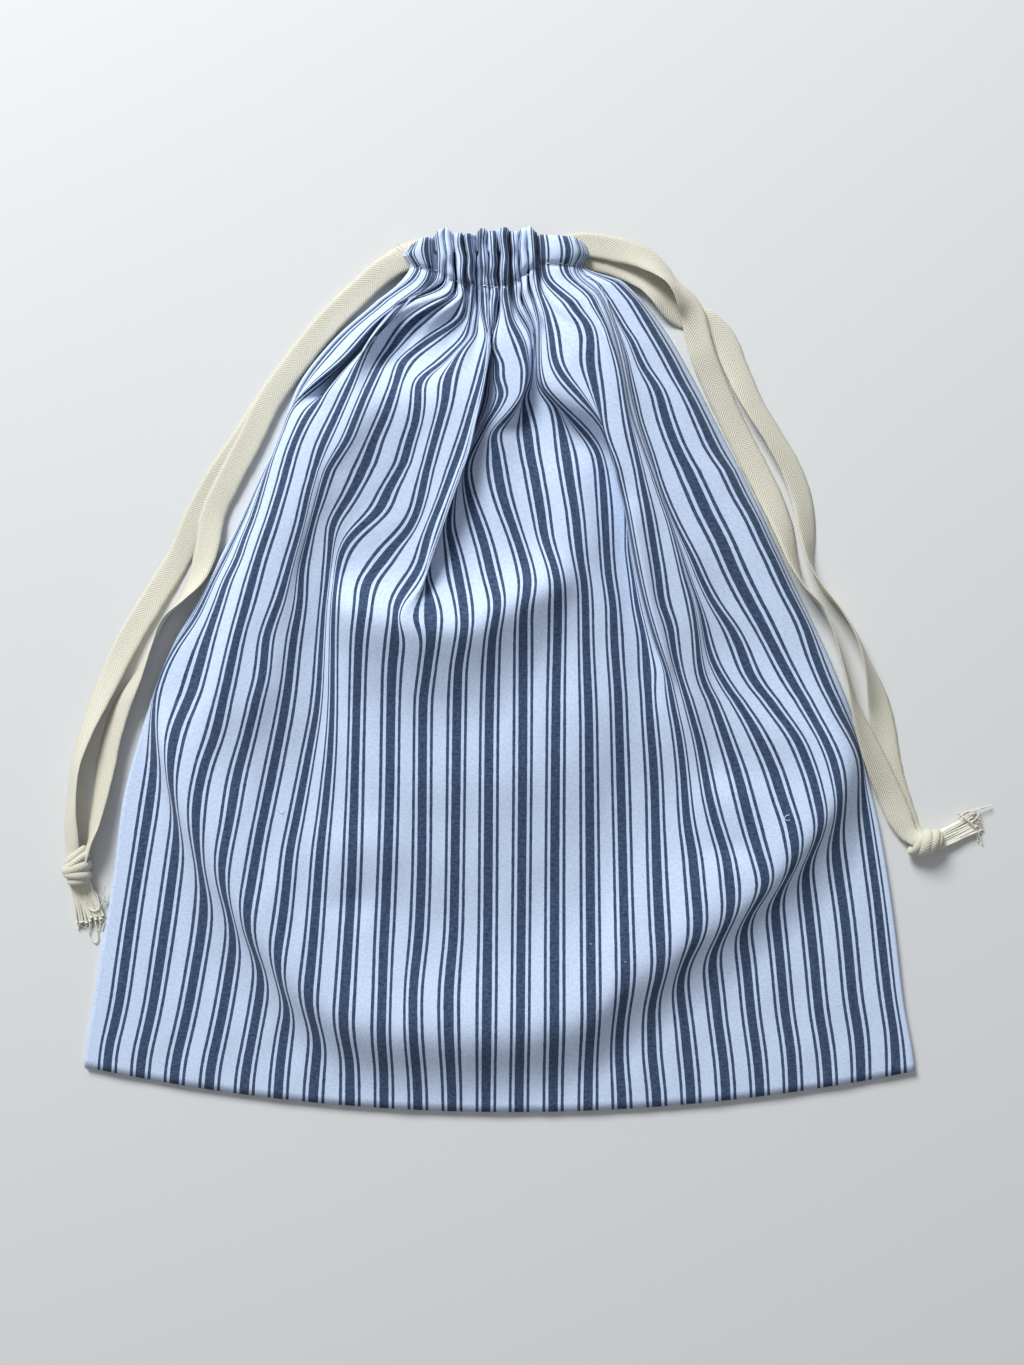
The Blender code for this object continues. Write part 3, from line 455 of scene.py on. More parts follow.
# The left edge shows plain ground, so no stripe is drawn further left than this.
WHITE_SEAM = -0.685
TOP_ROW, HEM_ROW, CASING_ROW = 233, 1112, 287
SEAM_HEIGHT = 2.55
EDGE_HEIGHTS = ((780, SEAM_HEIGHT), (310, SEAM_HEIGHT), (285, 5), (265, 7.5), (233, 7.5))
STRIPES = (
    (LEFT_SEAM,
     ((1112, 84), (985, 96), (880, 113), (805, 122), (740, 139), (700, 151), (640, 175), (598, 198),
      (518, 240), (430, 281), (389, 296), (340, 333), (300, 378), (280, 401), (262, 405), (233, 410)),
     EDGE_HEIGHTS),
    (0,
     ((1100, 107), (1000, 120), (900, 134), (800, 150), (760, 155), (700, 158), (670, 166), (646, 178),
      (620, 196), (600, 206), (580, 215), (560, 225), (520, 244), (480, 261), (440, 281), (389, 301),
      (340, 338), (300, 384), (280, 407), (262, 411), (233, 416)),
     ((780, 6), (640, 8), (440, 9), (300, 9), (262, 10), (233, 10))),
    (1,
     ((1100, 140), (1000, 154), (900, 169), (840, 177), (800, 182), (760, 183), (740, 184), (720, 188),
      (700, 197), (680, 202), (640, 211), (600, 223), (580, 229), (560, 239), (540, 245), (520, 253),
      (480, 265), (450, 275), (430, 283), (410, 290), (395, 302), (380, 320), (360, 344), (320, 380),
      (285, 420), (262, 428), (233, 430)),
     ((780, 9.5), (640, 11.5), (560, 13), (480, 14.5), (400, 16), (350, 14.5), (300, 12.5), (262, 12),
      (233, 12))),
    (2,
     ((1100, 174), (1000, 190), (920, 203), (885, 206), (840, 210), (800, 209), (760, 214), (740, 221),
      (700, 228), (640, 239), (600, 249), (560, 259), (520, 272), (480, 284), (450, 292), (430, 300),
      (415, 308), (380, 335), (340, 372), (300, 411), (262, 437), (233, 438)),
     ((780, 12.5), (700, 15.5), (640, 17), (560, 19), (480, 20.5), (440, 20.5), (400, 18.5), (350, 14.5),
      (300, 12.5), (262, 13), (233, 12))),
    (3,
     ((1100, 209), (1000, 225), (940, 234), (900, 238), (860, 238), (820, 241), (780, 244), (740, 252),
      (700, 260), (672, 266), (640, 268), (600, 281), (560, 292), (520, 303), (495, 308), (470, 315),
      (447, 322), (425, 332), (405, 341), (385, 350), (360, 360), (338, 372), (320, 385), (303, 400),
      (288, 430), (262, 446), (233, 446)),
     ((780, 13.5), (700, 15.5), (640, 17), (560, 19.5), (480, 22), (400, 21), (350, 17.5), (320, 14.5),
      (300, 12.5), (262, 13), (233, 12))),
    (4,
     ((1100, 244), (1040, 253), (1000, 259), (960, 264), (900, 266), (840, 269), (800, 274), (760, 280),
      (740, 283), (700, 289), (640, 295), (600, 301), (573, 302), (548, 307), (523, 313), (498, 320),
      (473, 327), (460, 334), (440, 347), (420, 355), (400, 363), (380, 372), (360, 383), (345, 395),
      (330, 405), (313, 423), (292, 455), (262, 455), (233, 454)),
     ((780, 12.3), (700, 13.5), (640, 15), (560, 17.5), (480, 20.5), (410, 22.8), (390, 20.5), (374, 15),
      (358, 10), (340, 9.2), (320, 11.4), (300, 14), (262, 13.5), (233, 12))),
    (5,
     ((1100, 278), (1040, 284), (1000, 291), (960, 296), (900, 297), (860, 297), (820, 302), (760, 311),
      (700, 320), (640, 323), (607, 325), (590, 327), (557, 330), (523, 333), (507, 343), (490, 353),
      (465, 365), (440, 374), (415, 385), (380, 397), (362, 402), (347, 420), (330, 445), (318, 463),
      (285, 466), (233, 461)),
     ((780, 11.3), (700, 11.8), (640, 12.8), (560, 15.4), (480, 18.6), (410, 21), (390, 19), (374, 14.4),
      (358, 9.8), (340, 9), (320, 11.2), (300, 14), (262, 13.5), (233, 12))),
    (6,
     ((1100, 313), (1060, 317), (1000, 320), (940, 321), (860, 323), (800, 328), (740, 332), (700, 333),
      (640, 333), (600, 334), (590, 335), (567, 338), (547, 343), (530, 357), (510, 380), (490, 388),
      (465, 403), (440, 410), (420, 416), (400, 418), (385, 418), (375, 424), (365, 440), (350, 455),
      (335, 468), (285, 472), (233, 468)),
     ((780, 12), (700, 12.6), (660, 14), (625, 18), (604, 20.6), (588, 17.6), (572, 15), (520, 16.4),
      (440, 19), (405, 20.2), (385, 18.2), (368, 14), (352, 10.4), (335, 10.2), (318, 12.2), (300, 14),
      (262, 13.5), (233, 12))),
    (7,
     ((1100, 350), (1020, 350), (960, 351), (900, 353), (800, 355), (700, 357), (640, 359), (607, 363),
      (582, 366), (567, 378), (547, 393), (533, 407), (510, 418), (473, 426), (445, 433), (420, 440),
      (400, 445), (380, 447), (362, 454), (347, 463), (335, 474), (262, 477), (233, 475)),
     ((780, 13.2), (720, 13.4), (690, 15), (655, 19), (630, 23), (612, 24.6), (596, 20.2), (578, 15.8),
      (560, 15.4), (500, 17.8), (440, 20.2), (400, 21.3), (350, 18), (320, 15), (300, 13.5), (262, 13),
      (233, 12))),
    (8,
     ((1100, 384), (960, 385), (900, 387), (800, 390), (672, 392), (640, 395), (607, 396), (587, 407),
      (567, 420), (533, 428), (510, 437), (487, 446), (460, 456), (430, 466), (405, 473), (385, 479),
      (365, 484), (345, 488), (330, 489), (310, 484), (290, 482), (233, 482)),
     ((780, 13.6), (740, 13.4), (705, 15), (665, 19.5), (638, 24), (618, 26), (602, 21.8), (586, 17.6),
      (566, 17), (500, 19.2), (440, 21.4), (400, 22.6), (350, 19.5), (300, 15), (262, 13), (233, 12))),
    (9,
     ((1100, 418), (1000, 414), (928, 420), (864, 422), (704, 423), (672, 427), (640, 431), (617, 432),
      (590, 428), (575, 425), (540, 432), (452, 462), (390, 478), (350, 485), (320, 487), (233, 488)),
     ((780, 13.6), (745, 13.3), (715, 14.4), (675, 19), (648, 23.6), (628, 26.2), (612, 22.2), (594, 17),
      (575, 14.2), (520, 13.6), (460, 13.4), (420, 12.8), (380, 12.4), (340, 12.2), (300, 13), (233, 12))),
    (10,
     ((1100, 452), (1000, 449), (928, 454), (800, 456), (672, 458), (640, 463), (623, 465), (603, 463),
      (573, 458), (548, 453), (527, 448), (500, 452), (460, 462), (430, 474), (400, 484), (370, 488),
      (290, 494), (233, 494)),
     ((780, 13.6), (740, 13.3), (712, 14.3), (672, 19), (646, 23.6), (627, 26), (610, 22), (592, 17),
      (570, 14.4), (500, 13.6), (460, 13.2), (420, 12.4), (370, 12.2), (340, 12.5), (262, 13), (233, 12))),
    (11,
     ((1100, 486), (900, 488), (736, 489), (640, 492), (603, 498), (578, 492), (540, 483), (515, 475),
      (493, 468), (473, 465), (462, 467), (433, 482), (422, 487), (407, 497), (390, 502), (380, 496),
      (363, 497), (347, 490), (320, 494), (300, 500), (233, 500)),
     ((780, 13.8), (725, 13.4), (692, 15.5), (655, 19.6), (630, 23.6), (610, 25.6), (594, 21.6),
      (576, 17), (555, 14.8), (500, 14), (465, 13.8), (445, 14), (430, 17), (400, 17.5), (330, 15.5),
      (285, 14), (233, 12))),
    (12,
     ((1100, 519), (672, 523), (615, 523), (582, 528), (557, 523), (527, 513), (498, 503), (473, 498),
      (448, 495), (435, 493), (415, 510), (392, 524), (372, 528), (355, 525), (337, 520), (317, 513),
      (297, 503), (233, 506)),
     ((780, 14), (705, 13.8), (665, 15.6), (634, 19.6), (612, 23.4), (594, 25), (578, 21), (560, 17),
      (535, 15.6), (490, 15.8), (450, 16), (425, 16), (395, 17.5), (337, 16), (285, 14), (233, 12))),
    (13,
     ((1100, 553), (700, 556), (607, 558), (587, 558), (562, 553), (540, 545), (507, 540), (478, 535),
      (453, 530), (430, 527), (398, 523), (380, 531), (350, 533), (320, 530), (300, 522), (285, 512),
      (233, 512)),
     ((780, 14.3), (690, 14), (645, 16), (608, 20), (580, 23.5), (562, 20.2), (545, 17), (490, 14.4),
      (440, 11), (405, 9.8), (370, 11.4), (340, 13), (300, 14.4), (285, 14.2), (233, 12))),
    (14,
     ((1100, 588), (1000, 590), (736, 589), (640, 586), (590, 585), (557, 580), (510, 575), (482, 570),
      (448, 565), (420, 560), (405, 555), (395, 545), (380, 537), (350, 536), (320, 534), (300, 528),
      (262, 518), (233, 518)),
     ((780, 15.2), (660, 15.5), (600, 17), (540, 17.5), (480, 15), (440, 11), (405, 9.8), (370, 11.2),
      (340, 12.8), (300, 14.4), (285, 14.2), (233, 12))),
    (15,
     ((1100, 622), (1056, 619), (960, 622), (700, 618), (640, 614), (607, 613), (573, 608), (523, 605),
      (473, 602), (453, 598), (440, 590), (420, 572), (400, 553), (385, 541), (360, 539), (320, 539),
      (300, 537), (262, 526), (233, 525)),
     ((780, 14.5), (680, 14), (600, 14), (540, 14), (470, 12.5), (440, 12.5), (425, 14.5), (400, 19.5),
      (385, 21), (330, 17.5), (285, 14), (262, 13), (233, 12))),
    (16,
     ((1100, 657), (1056, 652), (1000, 651), (960, 653), (800, 653), (704, 648), (640, 644), (607, 637),
      (578, 633), (540, 628), (515, 628), (480, 620), (455, 612), (432, 606), (420, 600), (405, 588),
      (390, 575), (375, 562), (362, 555), (330, 550), (310, 546), (262, 535), (233, 533)),
     ((780, 13.5), (700, 12), (640, 11), (560, 10.5), (480, 11.5), (450, 14.5), (436, 20.5), (400, 24),
      (350, 20.5), (300, 15), (262, 13), (233, 12))),
    (17,
     ((1100, 691), (1056, 687), (1024, 684), (992, 680), (957, 678), (940, 682), (900, 685), (860, 685),
      (820, 681), (780, 680), (740, 677), (700, 670), (675, 666), (643, 655), (600, 643), (573, 637),
      (540, 631), (515, 627), (480, 619), (457, 613), (437, 605), (420, 601), (400, 597), (380, 593),
      (360, 590), (340, 591), (323, 587), (313, 578), (297, 567), (285, 558), (277, 550), (233, 545)),
     ((780, 13), (675, 14), (600, 16.5), (515, 21), (457, 24), (360, 22.5), (323, 19.5), (285, 15.5),
      (262, 13), (233, 12))),
    (18,
     ((1100, 726), (1056, 722), (1024, 718), (992, 715), (935, 709), (890, 713), (860, 714), (840, 710),
      (800, 702), (760, 697), (740, 694), (720, 689), (700, 684), (675, 677), (653, 672), (623, 668),
      (603, 660), (573, 657), (540, 652), (512, 648), (482, 642), (457, 637), (430, 631), (400, 625),
      (380, 622), (357, 617), (343, 612), (327, 607), (313, 600), (300, 593), (287, 587), (278, 580),
      (262, 568), (233, 560)),
     ((780, 13), (700, 14.5), (640, 17), (600, 19), (540, 20.8), (500, 22), (400, 22.5), (330, 19.5),
      (285, 15.5), (262, 13), (233, 12))),
    (19,
     ((1100, 760), (1056, 756), (1024, 752), (960, 746), (908, 739), (885, 744), (850, 740), (830, 737),
      (800, 733), (775, 729), (740, 720), (700, 708), (680, 699), (660, 696), (640, 695), (620, 693),
      (600, 690), (580, 684), (560, 679), (540, 674), (520, 668), (500, 661), (480, 654), (460, 647),
      (440, 640), (420, 633), (400, 628), (380, 625), (360, 621), (340, 616), (320, 610), (303, 603),
      (287, 592), (262, 573), (233, 566)),
     ((780, 14.5), (740, 13), (700, 12.2), (660, 14.2), (600, 17.6), (540, 19.6), (480, 20.6),
      (400, 20.5), (300, 14.5), (262, 12.5), (233, 11.5))),
    (20,
     ((1100, 793), (1056, 790), (1024, 786), (960, 780), (930, 777), (900, 774), (830, 775), (800, 769),
      (770, 763), (750, 756), (715, 740), (700, 730), (680, 718), (660, 708), (640, 703), (620, 700),
      (600, 695), (580, 688), (560, 682), (540, 676), (520, 669), (500, 663), (480, 657), (460, 650),
      (440, 643), (420, 637), (400, 632), (380, 628), (360, 624), (340, 619), (320, 612), (300, 603),
      (262, 577), (233, 570)),
     ((780, 16), (745, 14.6), (700, 11.2), (660, 12), (600, 16.2), (540, 18.6), (480, 19.2), (400, 19),
      (300, 14), (262, 12), (233, 11))),
    (21,
     ((1100, 828), (1056, 824), (1024, 820), (960, 814), (896, 807), (850, 802), (820, 803), (780, 800),
      (760, 795), (740, 789), (720, 776), (700, 762), (675, 745), (647, 736), (627, 727), (607, 713),
      (582, 700), (557, 690), (537, 680), (515, 670), (495, 662), (477, 656), (455, 650), (440, 645),
      (418, 638), (400, 634), (380, 630), (360, 627), (340, 621), (320, 614), (285, 601), (262, 580),
      (233, 573)),
     ((780, 16.8), (740, 14.8), (700, 11.4), (660, 10.6), (600, 13.8), (540, 17.2), (480, 17.8),
      (400, 17), (320, 14), (262, 11.5), (233, 11))),
    (22,
     ((1100, 861), (1056, 859), (992, 852), (928, 846), (864, 837), (840, 834), (800, 830), (760, 825),
      (740, 818), (715, 806), (672, 783), (640, 767), (620, 757), (593, 743), (565, 730), (540, 720),
      (515, 707), (487, 695), (462, 683), (440, 673), (410, 663), (397, 660), (385, 655), (368, 643),
      (350, 635), (338, 630), (330, 624), (310, 613), (295, 604), (262, 584), (233, 577)),
     ((780, 15.4), (740, 13.4), (700, 10.6), (660, 9.4), (600, 10.8), (540, 12.6), (440, 13.6), (345, 13),
      (285, 12), (262, 10.5), (233, 10))),
    (23,
     ((1100, 896), (1056, 894), (960, 884), (896, 877), (860, 872), (830, 868), (800, 864), (780, 861),
      (760, 858), (735, 848), (710, 835), (680, 822), (655, 813), (628, 805), (603, 793), (583, 783),
      (560, 773), (540, 763), (517, 753), (495, 740), (473, 730), (450, 715), (422, 702), (397, 690),
      (380, 680), (363, 672), (347, 663), (325, 650), (308, 640), (295, 630), (280, 615), (265, 597),
      (233, 581)),
     ((780, 9), (720, 8), (650, 6.5), (560, 7.5), (480, 8.5), (360, 10), (300, 10), (262, 9), (233, 9))),
    (RIGHT_SEAM,
     ((1112, 915), (1009, 904), (921, 894), (827, 879), (777, 867), (734, 858), (660, 830), (580, 792),
      (500, 755), (421, 715), (371, 689), (327, 663), (295, 637), (277, 618), (262, 596), (233, 585)),
     EDGE_HEIGHTS),
)
# Short folds between the stripes, laid out in the same way, which ease in and out over some rows.
FOLD_FADE = 25
FOLDS = (
    (1.8,
     ((410, 310), (390, 330), (375, 341), (360, 352), (340, 370), (320, 386), (305, 400), (295, 415),
      (290, 430)),
     ((410, 8), (380, 6), (340, 6), (305, 8), (290, 11))),
    (8.5,
     ((640, 398), (614, 402), (585, 423), (560, 431), (533, 441), (500, 452), (475, 461), (452, 469),
      (420, 476), (390, 483), (360, 488), (330, 491), (315, 491), (295, 487), (285, 486)),
     ((650, 20), (625, 26.4), (604, 23.4), (580, 20.6), (533, 22), (475, 24.2), (420, 24.4), (360, 21.2),
      (320, 18), (295, 15.5))),
    (16.5,
     ((690, 668), (643, 652), (600, 641), (573, 635), (540, 629), (515, 625), (482, 617), (457, 611),
      (445, 607)),
     ((690, 14.5), (640, 13), (560, 13), (500, 13.5), (457, 16.5), (445, 19.5))),
    (17.35,
     ((690, 674), (643, 660), (600, 648), (560, 640), (515, 632), (490, 628)),
     ((690, 17), (643, 20), (600, 21.5), (560, 22.5), (515, 23.5), (490, 24))),
)
# Crease where the flat corners and hem rise into the full body: stripe, row, sideways push in columns,
# and how far the rise is drawn out where the crease runs steeply.
CREASE = (
    (LEFT_SEAM, 725, 0, 1.9), (0, 735, -6, 1.9), (1, 800, -19, 1.9), (2, 860, -21, 1.9),
    (3, 903, -24, 1.8), (4, 945, -27, 1.6), (5, 985, -26, 1.45), (6, 1020, -16, 1.25),
    (7, 1045, -9, 1.1), (8, 1055, -4, 1), (11, 1058, 0, 1), (14, 1038, 2, 1.1), (15, 1005, 5, 1.2),
    (16, 985, 11, 1.2), (17, 957, 20, 1.2), (18, 935, 26, 1.2), (19, 908, 30, 1.2),
    (20, 878, 28, 1.2), (21, 848, 25, 1.25), (22, 818, 14, 1.35), (23, 770, 6, 1.6),
    (RIGHT_SEAM, 750, 0, 1.6),
)
CREASE_FOOT, CREASE_HALF = 2.4, 26
PUSH_LENGTH = 110
# Rise of the cloth across the crease: rows above the crease, and height in mm over the flat hem. A
# welt follows the crease, and the body dips behind it.
BODY_RISE = (
    (-62, 0), (-42, 1.2), (-24, 3.3), (-9, 6.2), (4, 9.5), (14, 11.6), (24, 12.2), (45, 11.1), (70, 9.1),
    (100, 7.1), (130, 6.4), (170, 7.3), (220, 9.4), (280, 11.4), (360, 12.5), (620, 12.5),
)
# Local swells and hollows of the body: column, row, half width in columns and in rows, height in mm.
SWELLS = (
    (372, 852, 52, 30, 2.0), (345, 905, 30, 16, -1.2), (735, 800, 34, 26, 2.2), (728, 850, 30, 14, -1.2),
    (500, 780, 80, 30, 0.7), (585, 835, 40, 40, -0.6), (455, 870, 40, 30, 0.6), (300, 800, 40, 60, -0.8),
    (560, 720, 40, 40, 0.6), (655, 760, 40, 60, -0.8),
)
# Rows over which the body's own height hands over to the folds'.
BODY_ROWS = (690, 790)
# Height comes in over this many stripes from a side seam.
SEAM_STRIPES = 1.3

# The gathered casing, from its crest (TOP_ROW) down to the row of stitches that closes it. Ridges:
# stripe, column at the crest and at the stitches, height in mm.
GATHERS = (
    (2.4, 440, 442, 12.4), (3.45, 447, 450, 13.8), (4.75, 459, 462, 12.4), (5.95, 469, 471, 10.8),
    (8.2, 483, 484, 13.4), (9.8, 492, 493, 12.0), (11.9, 504, 505, 13.6), (13.3, 514, 516, 11.8),
    (14.5, 523, 525, 13.2), (15.7, 531, 534, 14.0),
)
RIDGE_STRIPES, RIDGE_COLUMNS, RIDGE_ROUND = 0.27, 3.5, 1.3
VALLEY_HEIGHT = 4.6
# Its smooth puffed ends: stripe, column at the crest and at the stitches, height in mm.
LEFT_END = (
    (LEFT_SEAM, 411, 411, 6.2), (-0.35, 413, 416, 8.6), (0.15, 417, 422, 10.8), (0.6, 422, 428, 11.4),
    (1.0, 427, 432, 10.6), (1.35, 431, 435, 8.6), (1.75, 434, 437, 5.6),
)
RIGHT_END = (
    (16.3, 536, 539, 6.0), (16.9, 540, 543, 9.5), (17.25, 546, 549, 12.2), (17.6, 555, 558, 13.0),
    (18, 565, 567, 12.4), (18.6, 573, 572, 11.0), (19.6, 579, 575, 9.2), (21.4, 583, 577, 7.6),
    (RIGHT_SEAM, 586, 579, 6.2),
)
# How far the two ends bulge outwards between the crest and the stitches, in columns, and over how many
# stripes the bulge comes in.
LEFT_BULGE, RIGHT_BULGE, LEFT_BULGE_STRIPES, RIGHT_BULGE_STRIPES = 7, 5, 2, 3
# Crest of the casing: column, and rows below TOP_ROW.
CREST = (
    (403, 15), (408, 11.5), (413, 8.5), (418, 6), (425, 3.8), (433, 2.2), (439, -2), (446, -4.5),
    (453, 0), (460, 1), (471, 1), (482, -3), (492, -1.5), (506, -4), (513, -1), (529, -5), (537, 0),
    (548, 2), (560, 1.5), (575, 1), (582, 3), (590, 9),
)
# Row of the stitches at each column.
STITCH_ROWS = (
    (405, 264), (436, 272), (462, 284), (490, 287), (510, 284), (530, 270), (545, 264), (586, 264),
)
# Depth and half width of the stitched groove, in mm and rows. Ridges that stand less than RIDGE_FULL mm
# over the valleys have less of it.
STITCH_GROOVE, GROOVE_HALF, RIDGE_FULL = 1.3, 2.6, 5
# Share of its height that a ridge has at the crest and at the stitches, and how much more between them.
RIDGE_SHARE, TUBE_PUFF = 0.92, 0.192
# The gathers' columns run on past the stitches as far as this, the casing's depth being 1.
PAST_CASING = 1.2
# How far the ridges wander: columns and mm, and the length of a wander in stripes and in rows. They
# keep still outside these stripes, and the wander comes in over WANDER_FADE stripes.
WANDER_COLUMNS, WANDER_HEIGHT, WANDER_STRIPES, WANDER_ROWS = 2.6, 2.6, 1.3, 19
WANDER_INSIDE, WANDER_FADE, WANDER_SEEDS = (1.5, 16.5), 1.5, (3.0, 9.0)
# Stripe, row down to which the casing keeps its own gathers, and row from which the folds take over.
NECK = (
    (LEFT_SEAM, 262, 285), (1.5, 266, 300), (3, 274, 303), (5, 282, 308), (6.5, 287, 322), (8, 289, 345),
    (10, 290, 352), (13, 284, 345), (15.5, 270, 320), (18, 264, 298), (RIGHT_SEAM, 262, 282),
)
# The crest's radius, in mm and in rows, and how far ridges stand above valleys in rows.
LIP, LIP_ROWS, SCALLOP, SCALLOP_ROWS = 1.5, 4, 4.5, 26
# Height of a full ridge over the valleys in mm, and the share of it that keeps to the crest's line.
SCALLOP_RIDGE, SCALLOP_LEVEL = 9, 0.55
# Rows that are carried down inside the mouth, and the least height there.
INNER_ROWS, INNER_FLOOR = 10, 3.4
HEM_ARCH, HEM_ARCH_COLUMN, HEM_ARCH_ROWS = 2.5e-4, 510, 130
TOP_DROP, TOP_DROP_ROWS = 10, 45
# The casing slopes down to its ends: middle column, half width, share of it that is level, and power.
TOP_MIDDLE, TOP_HALF, TOP_LEVEL, TOP_POWER = 488, 90, 0.45, 1.5
# How closely the grid follows the cloth: first, last and number of lines in each span.
ROW_SPANS = ((TOP_ROW, 240, 5), (240, 300, 24), (300, 470, 46), (470, 700, 44), (700, 1070, 56),
             (1070, HEM_ROW, 5))
STRIPE_SPANS = ((LEFT_SEAM, 0.4, 12), (0.4, 2, 14), (2, 16.6, 156), (16.6, 22.8, 50),
                (22.8, RIGHT_SEAM, 9))
# Fine gathers under the stitches: rows they start, peak and fade at, height in mm, and how many to a
# stripe. Their sway is in ripples, and sway and size have a length in stripes and rows, and a seed.
RIPPLE_ROWS, RIPPLE_FADE, RIPPLE, RIPPLES = (262, 292, 400), 1.5, 1.5, 1.45
RIPPLE_INSIDE, RIPPLE_EDGE = (1, 19), 2
SWAY, SWAY_NOISE = 1.3, (2.2, 70, 21.0)
RIPPLE_SIZE, RIPPLE_STRAY, RIPPLE_MOST, SIZE_NOISE = 0.6, 1.1, 1.2, (1.6, 45, 33.0)
# Small soft dents: height in mm, length in stripes and rows, and seed.
DENTS = ((0.45, 1 / 1.1, 62, 0.0), (0.16, 1 / 2.6, 30, 7.0))
SMOOTHINGS = 4

# The back lies flat but for pleats under the mouth: height in mm, waves, number of pleats, the stripes
# and rows between which they run, and rows by which its top is lower.
BACK_LIFT, BACK_WAVE, BACK_PLEATS, PLEAT_STRIPES, PLEAT_ROWS = 0.9, 0.7, 12, (2, 16.6), (292, 345)
BACK_DROP, BACK_GRID = 5, (90, 120)


def spaced(spans):
    """Lines spread evenly over each (first, last, number) span, and one at the very end."""
    lines = [np.linspace(first, last, number, endpoint=False) for first, last, number in spans]
    return np.concatenate([*lines, [spans[-1][1]]])


def edge_rows(column, row):
    """Rows bent to the arched hem and to the casing's sloping ends."""
    hem = HEM_ARCH * (column - HEM_ARCH_COLUMN) ** 2 * ramp(1 - (HEM_ROW - row) / HEM_ARCH_ROWS)
    ends = np.clip(np.abs(column - TOP_MIDDLE) / TOP_HALF - TOP_LEVEL, 0, 1) ** TOP_POWER
    return row - hem + TOP_DROP * ends * ramp(1 - (row - TOP_ROW) / TOP_DROP_ROWS)


def folds_at(row):
    """Stripe, column and height of every line of the cloth at one row, the short folds with them."""
    lines = [(stripe, curve(path, row), curve(heights, row)) for stripe, path, heights in STRIPES]
    extra = []
    for stripe, path, heights in FOLDS:
        fade = ramp((row - path[-1][0]) / FOLD_FADE) * ramp((path[0][0] - row) / FOLD_FADE)
        if fade <= 0:
            continue
        column, height = between(lines, 1, stripe), between(lines, 2, stripe)
        extra.append((stripe, column + fade * (curve(path, row) - column),
                      height + fade * (curve(heights, row) - height)))
    return lines + extra


def seam_taper(stripes):
    return ramp(np.minimum(stripes - LEFT_SEAM, RIGHT_SEAM - stripes) / SEAM_STRIPES)


def casing_lines():
    """Stripe, column at the crest, column at the stitches and height of each line of the casing."""
    lines = list(LEFT_END)
    for i, (stripe, crest, stitch, height) in enumerate(GATHERS):
        for side in (-1, 0, 1):
            shift = side * RIDGE_COLUMNS
            lines.append((stripe + side * RIDGE_STRIPES, crest + shift, stitch + shift,
                          height - abs(side) * RIDGE_ROUND))
        if i + 1 < len(GATHERS):
            after = GATHERS[i + 1]
            lines.append(((stripe + after[0]) / 2, (crest + after[1]) / 2, (stitch + after[2]) / 2,
                          VALLEY_HEIGHT))
    return lines + list(RIGHT_END)


def casing_layout(stripes, row):
    """Column and height of the gathered casing and of the folds just under it, at one row."""
    lines = casing_lines()
    down = np.clip((row - TOP_ROW) / (CASING_ROW - TOP_ROW), 0, PAST_CASING)
    column = curve([(line[0], line[1] + (line[2] - line[1]) * down) for line in lines], stripes)
    stitch = curve(STITCH_ROWS, column)
    lift = between(lines, 3, stripes) - VALLEY_HEIGHT
    groove = STITCH_GROOVE * np.exp(-((row - stitch) / GROOVE_HALF) ** 2)
    bulge = np.sin(pi * np.clip((row - TOP_ROW) / (stitch - TOP_ROW), 0, 1))
    column -= LEFT_BULGE * bulge * ramp((LEFT_END[-1][0] - stripes) / LEFT_BULGE_STRIPES)
    column += RIGHT_BULGE * bulge * ramp((stripes - RIGHT_END[0][0]) / RIGHT_BULGE_STRIPES)
    first, last = WANDER_INSIDE
    inner = ramp((stripes - first) / WANDER_FADE) * ramp((last - stripes) / WANDER_FADE)
    stray, swell = [soft_noise(stripes, row, WANDER_STRIPES, WANDER_ROWS, seed) for seed in WANDER_SEEDS]
    column += WANDER_COLUMNS * inner * stray
    ridge = ramp(lift / RIDGE_FULL)
    height = VALLEY_HEIGHT + lift * (RIDGE_SHARE + TUBE_PUFF * bulge) - groove * ridge
    return column, height + WANDER_HEIGHT * inner * swell * ridge


def front_layout(stripes, rows):
    """Columns and heights of the front's grid."""
    columns, heights = np.empty((2, len(rows), len(stripes)))
    crease, push, drawn = [between(CREASE, k, stripes) for k in (1, 2, 3)]
    half = CREASE_HALF * drawn
    for i, row in enumerate(rows):
        lines = folds_at(row)
        inside = crease - row
        over = ramp((inside + half) / (2 * half))
        columns[i] = between(lines, 1, stripes) + push * over * np.exp(-np.maximum(inside, 0) / PUSH_LENGTH)
        foot = CREASE_FOOT * ramp((HEM_ROW - row) / (HEM_ROW - crease + half))
        body = foot + curve(BODY_RISE, inside / drawn)
        upper = ramp((BODY_ROWS[1] - row) / (BODY_ROWS[1] - BODY_ROWS[0]))
        heights[i] = body * seam_taper(stripes) * (1 - upper) + between(lines, 2, stripes) * upper
        heights[i] = np.maximum(heights[i], SEAM_HEIGHT)
    columns, heights = smoothed(columns), smoothed(heights)
    for column, row, wide, long, height in SWELLS:
        near = ((columns - column) / wide) ** 2 + ((rows[:, None] - row) / long) ** 2
        heights += height * np.exp(-near)
    start, end = [between(NECK, k, stripes) for k in (1, 2)]
    for i, row in enumerate(rows):
        neck = ramp((end - row) / (end - start))
        if neck.max() > 0:
            column, height = casing_layout(stripes, row)
            columns[i] += neck * (column - columns[i])
            heights[i] += neck * (height - heights[i])
    return columns, heights


def smoothed(grid):
    """The grid with its small kinks along the stripes eased out."""
    for _ in range(SMOOTHINGS):
        grid[1:-1] = (grid[:-2] + 2 * grid[1:-1] + grid[2:]) / 4
    return grid


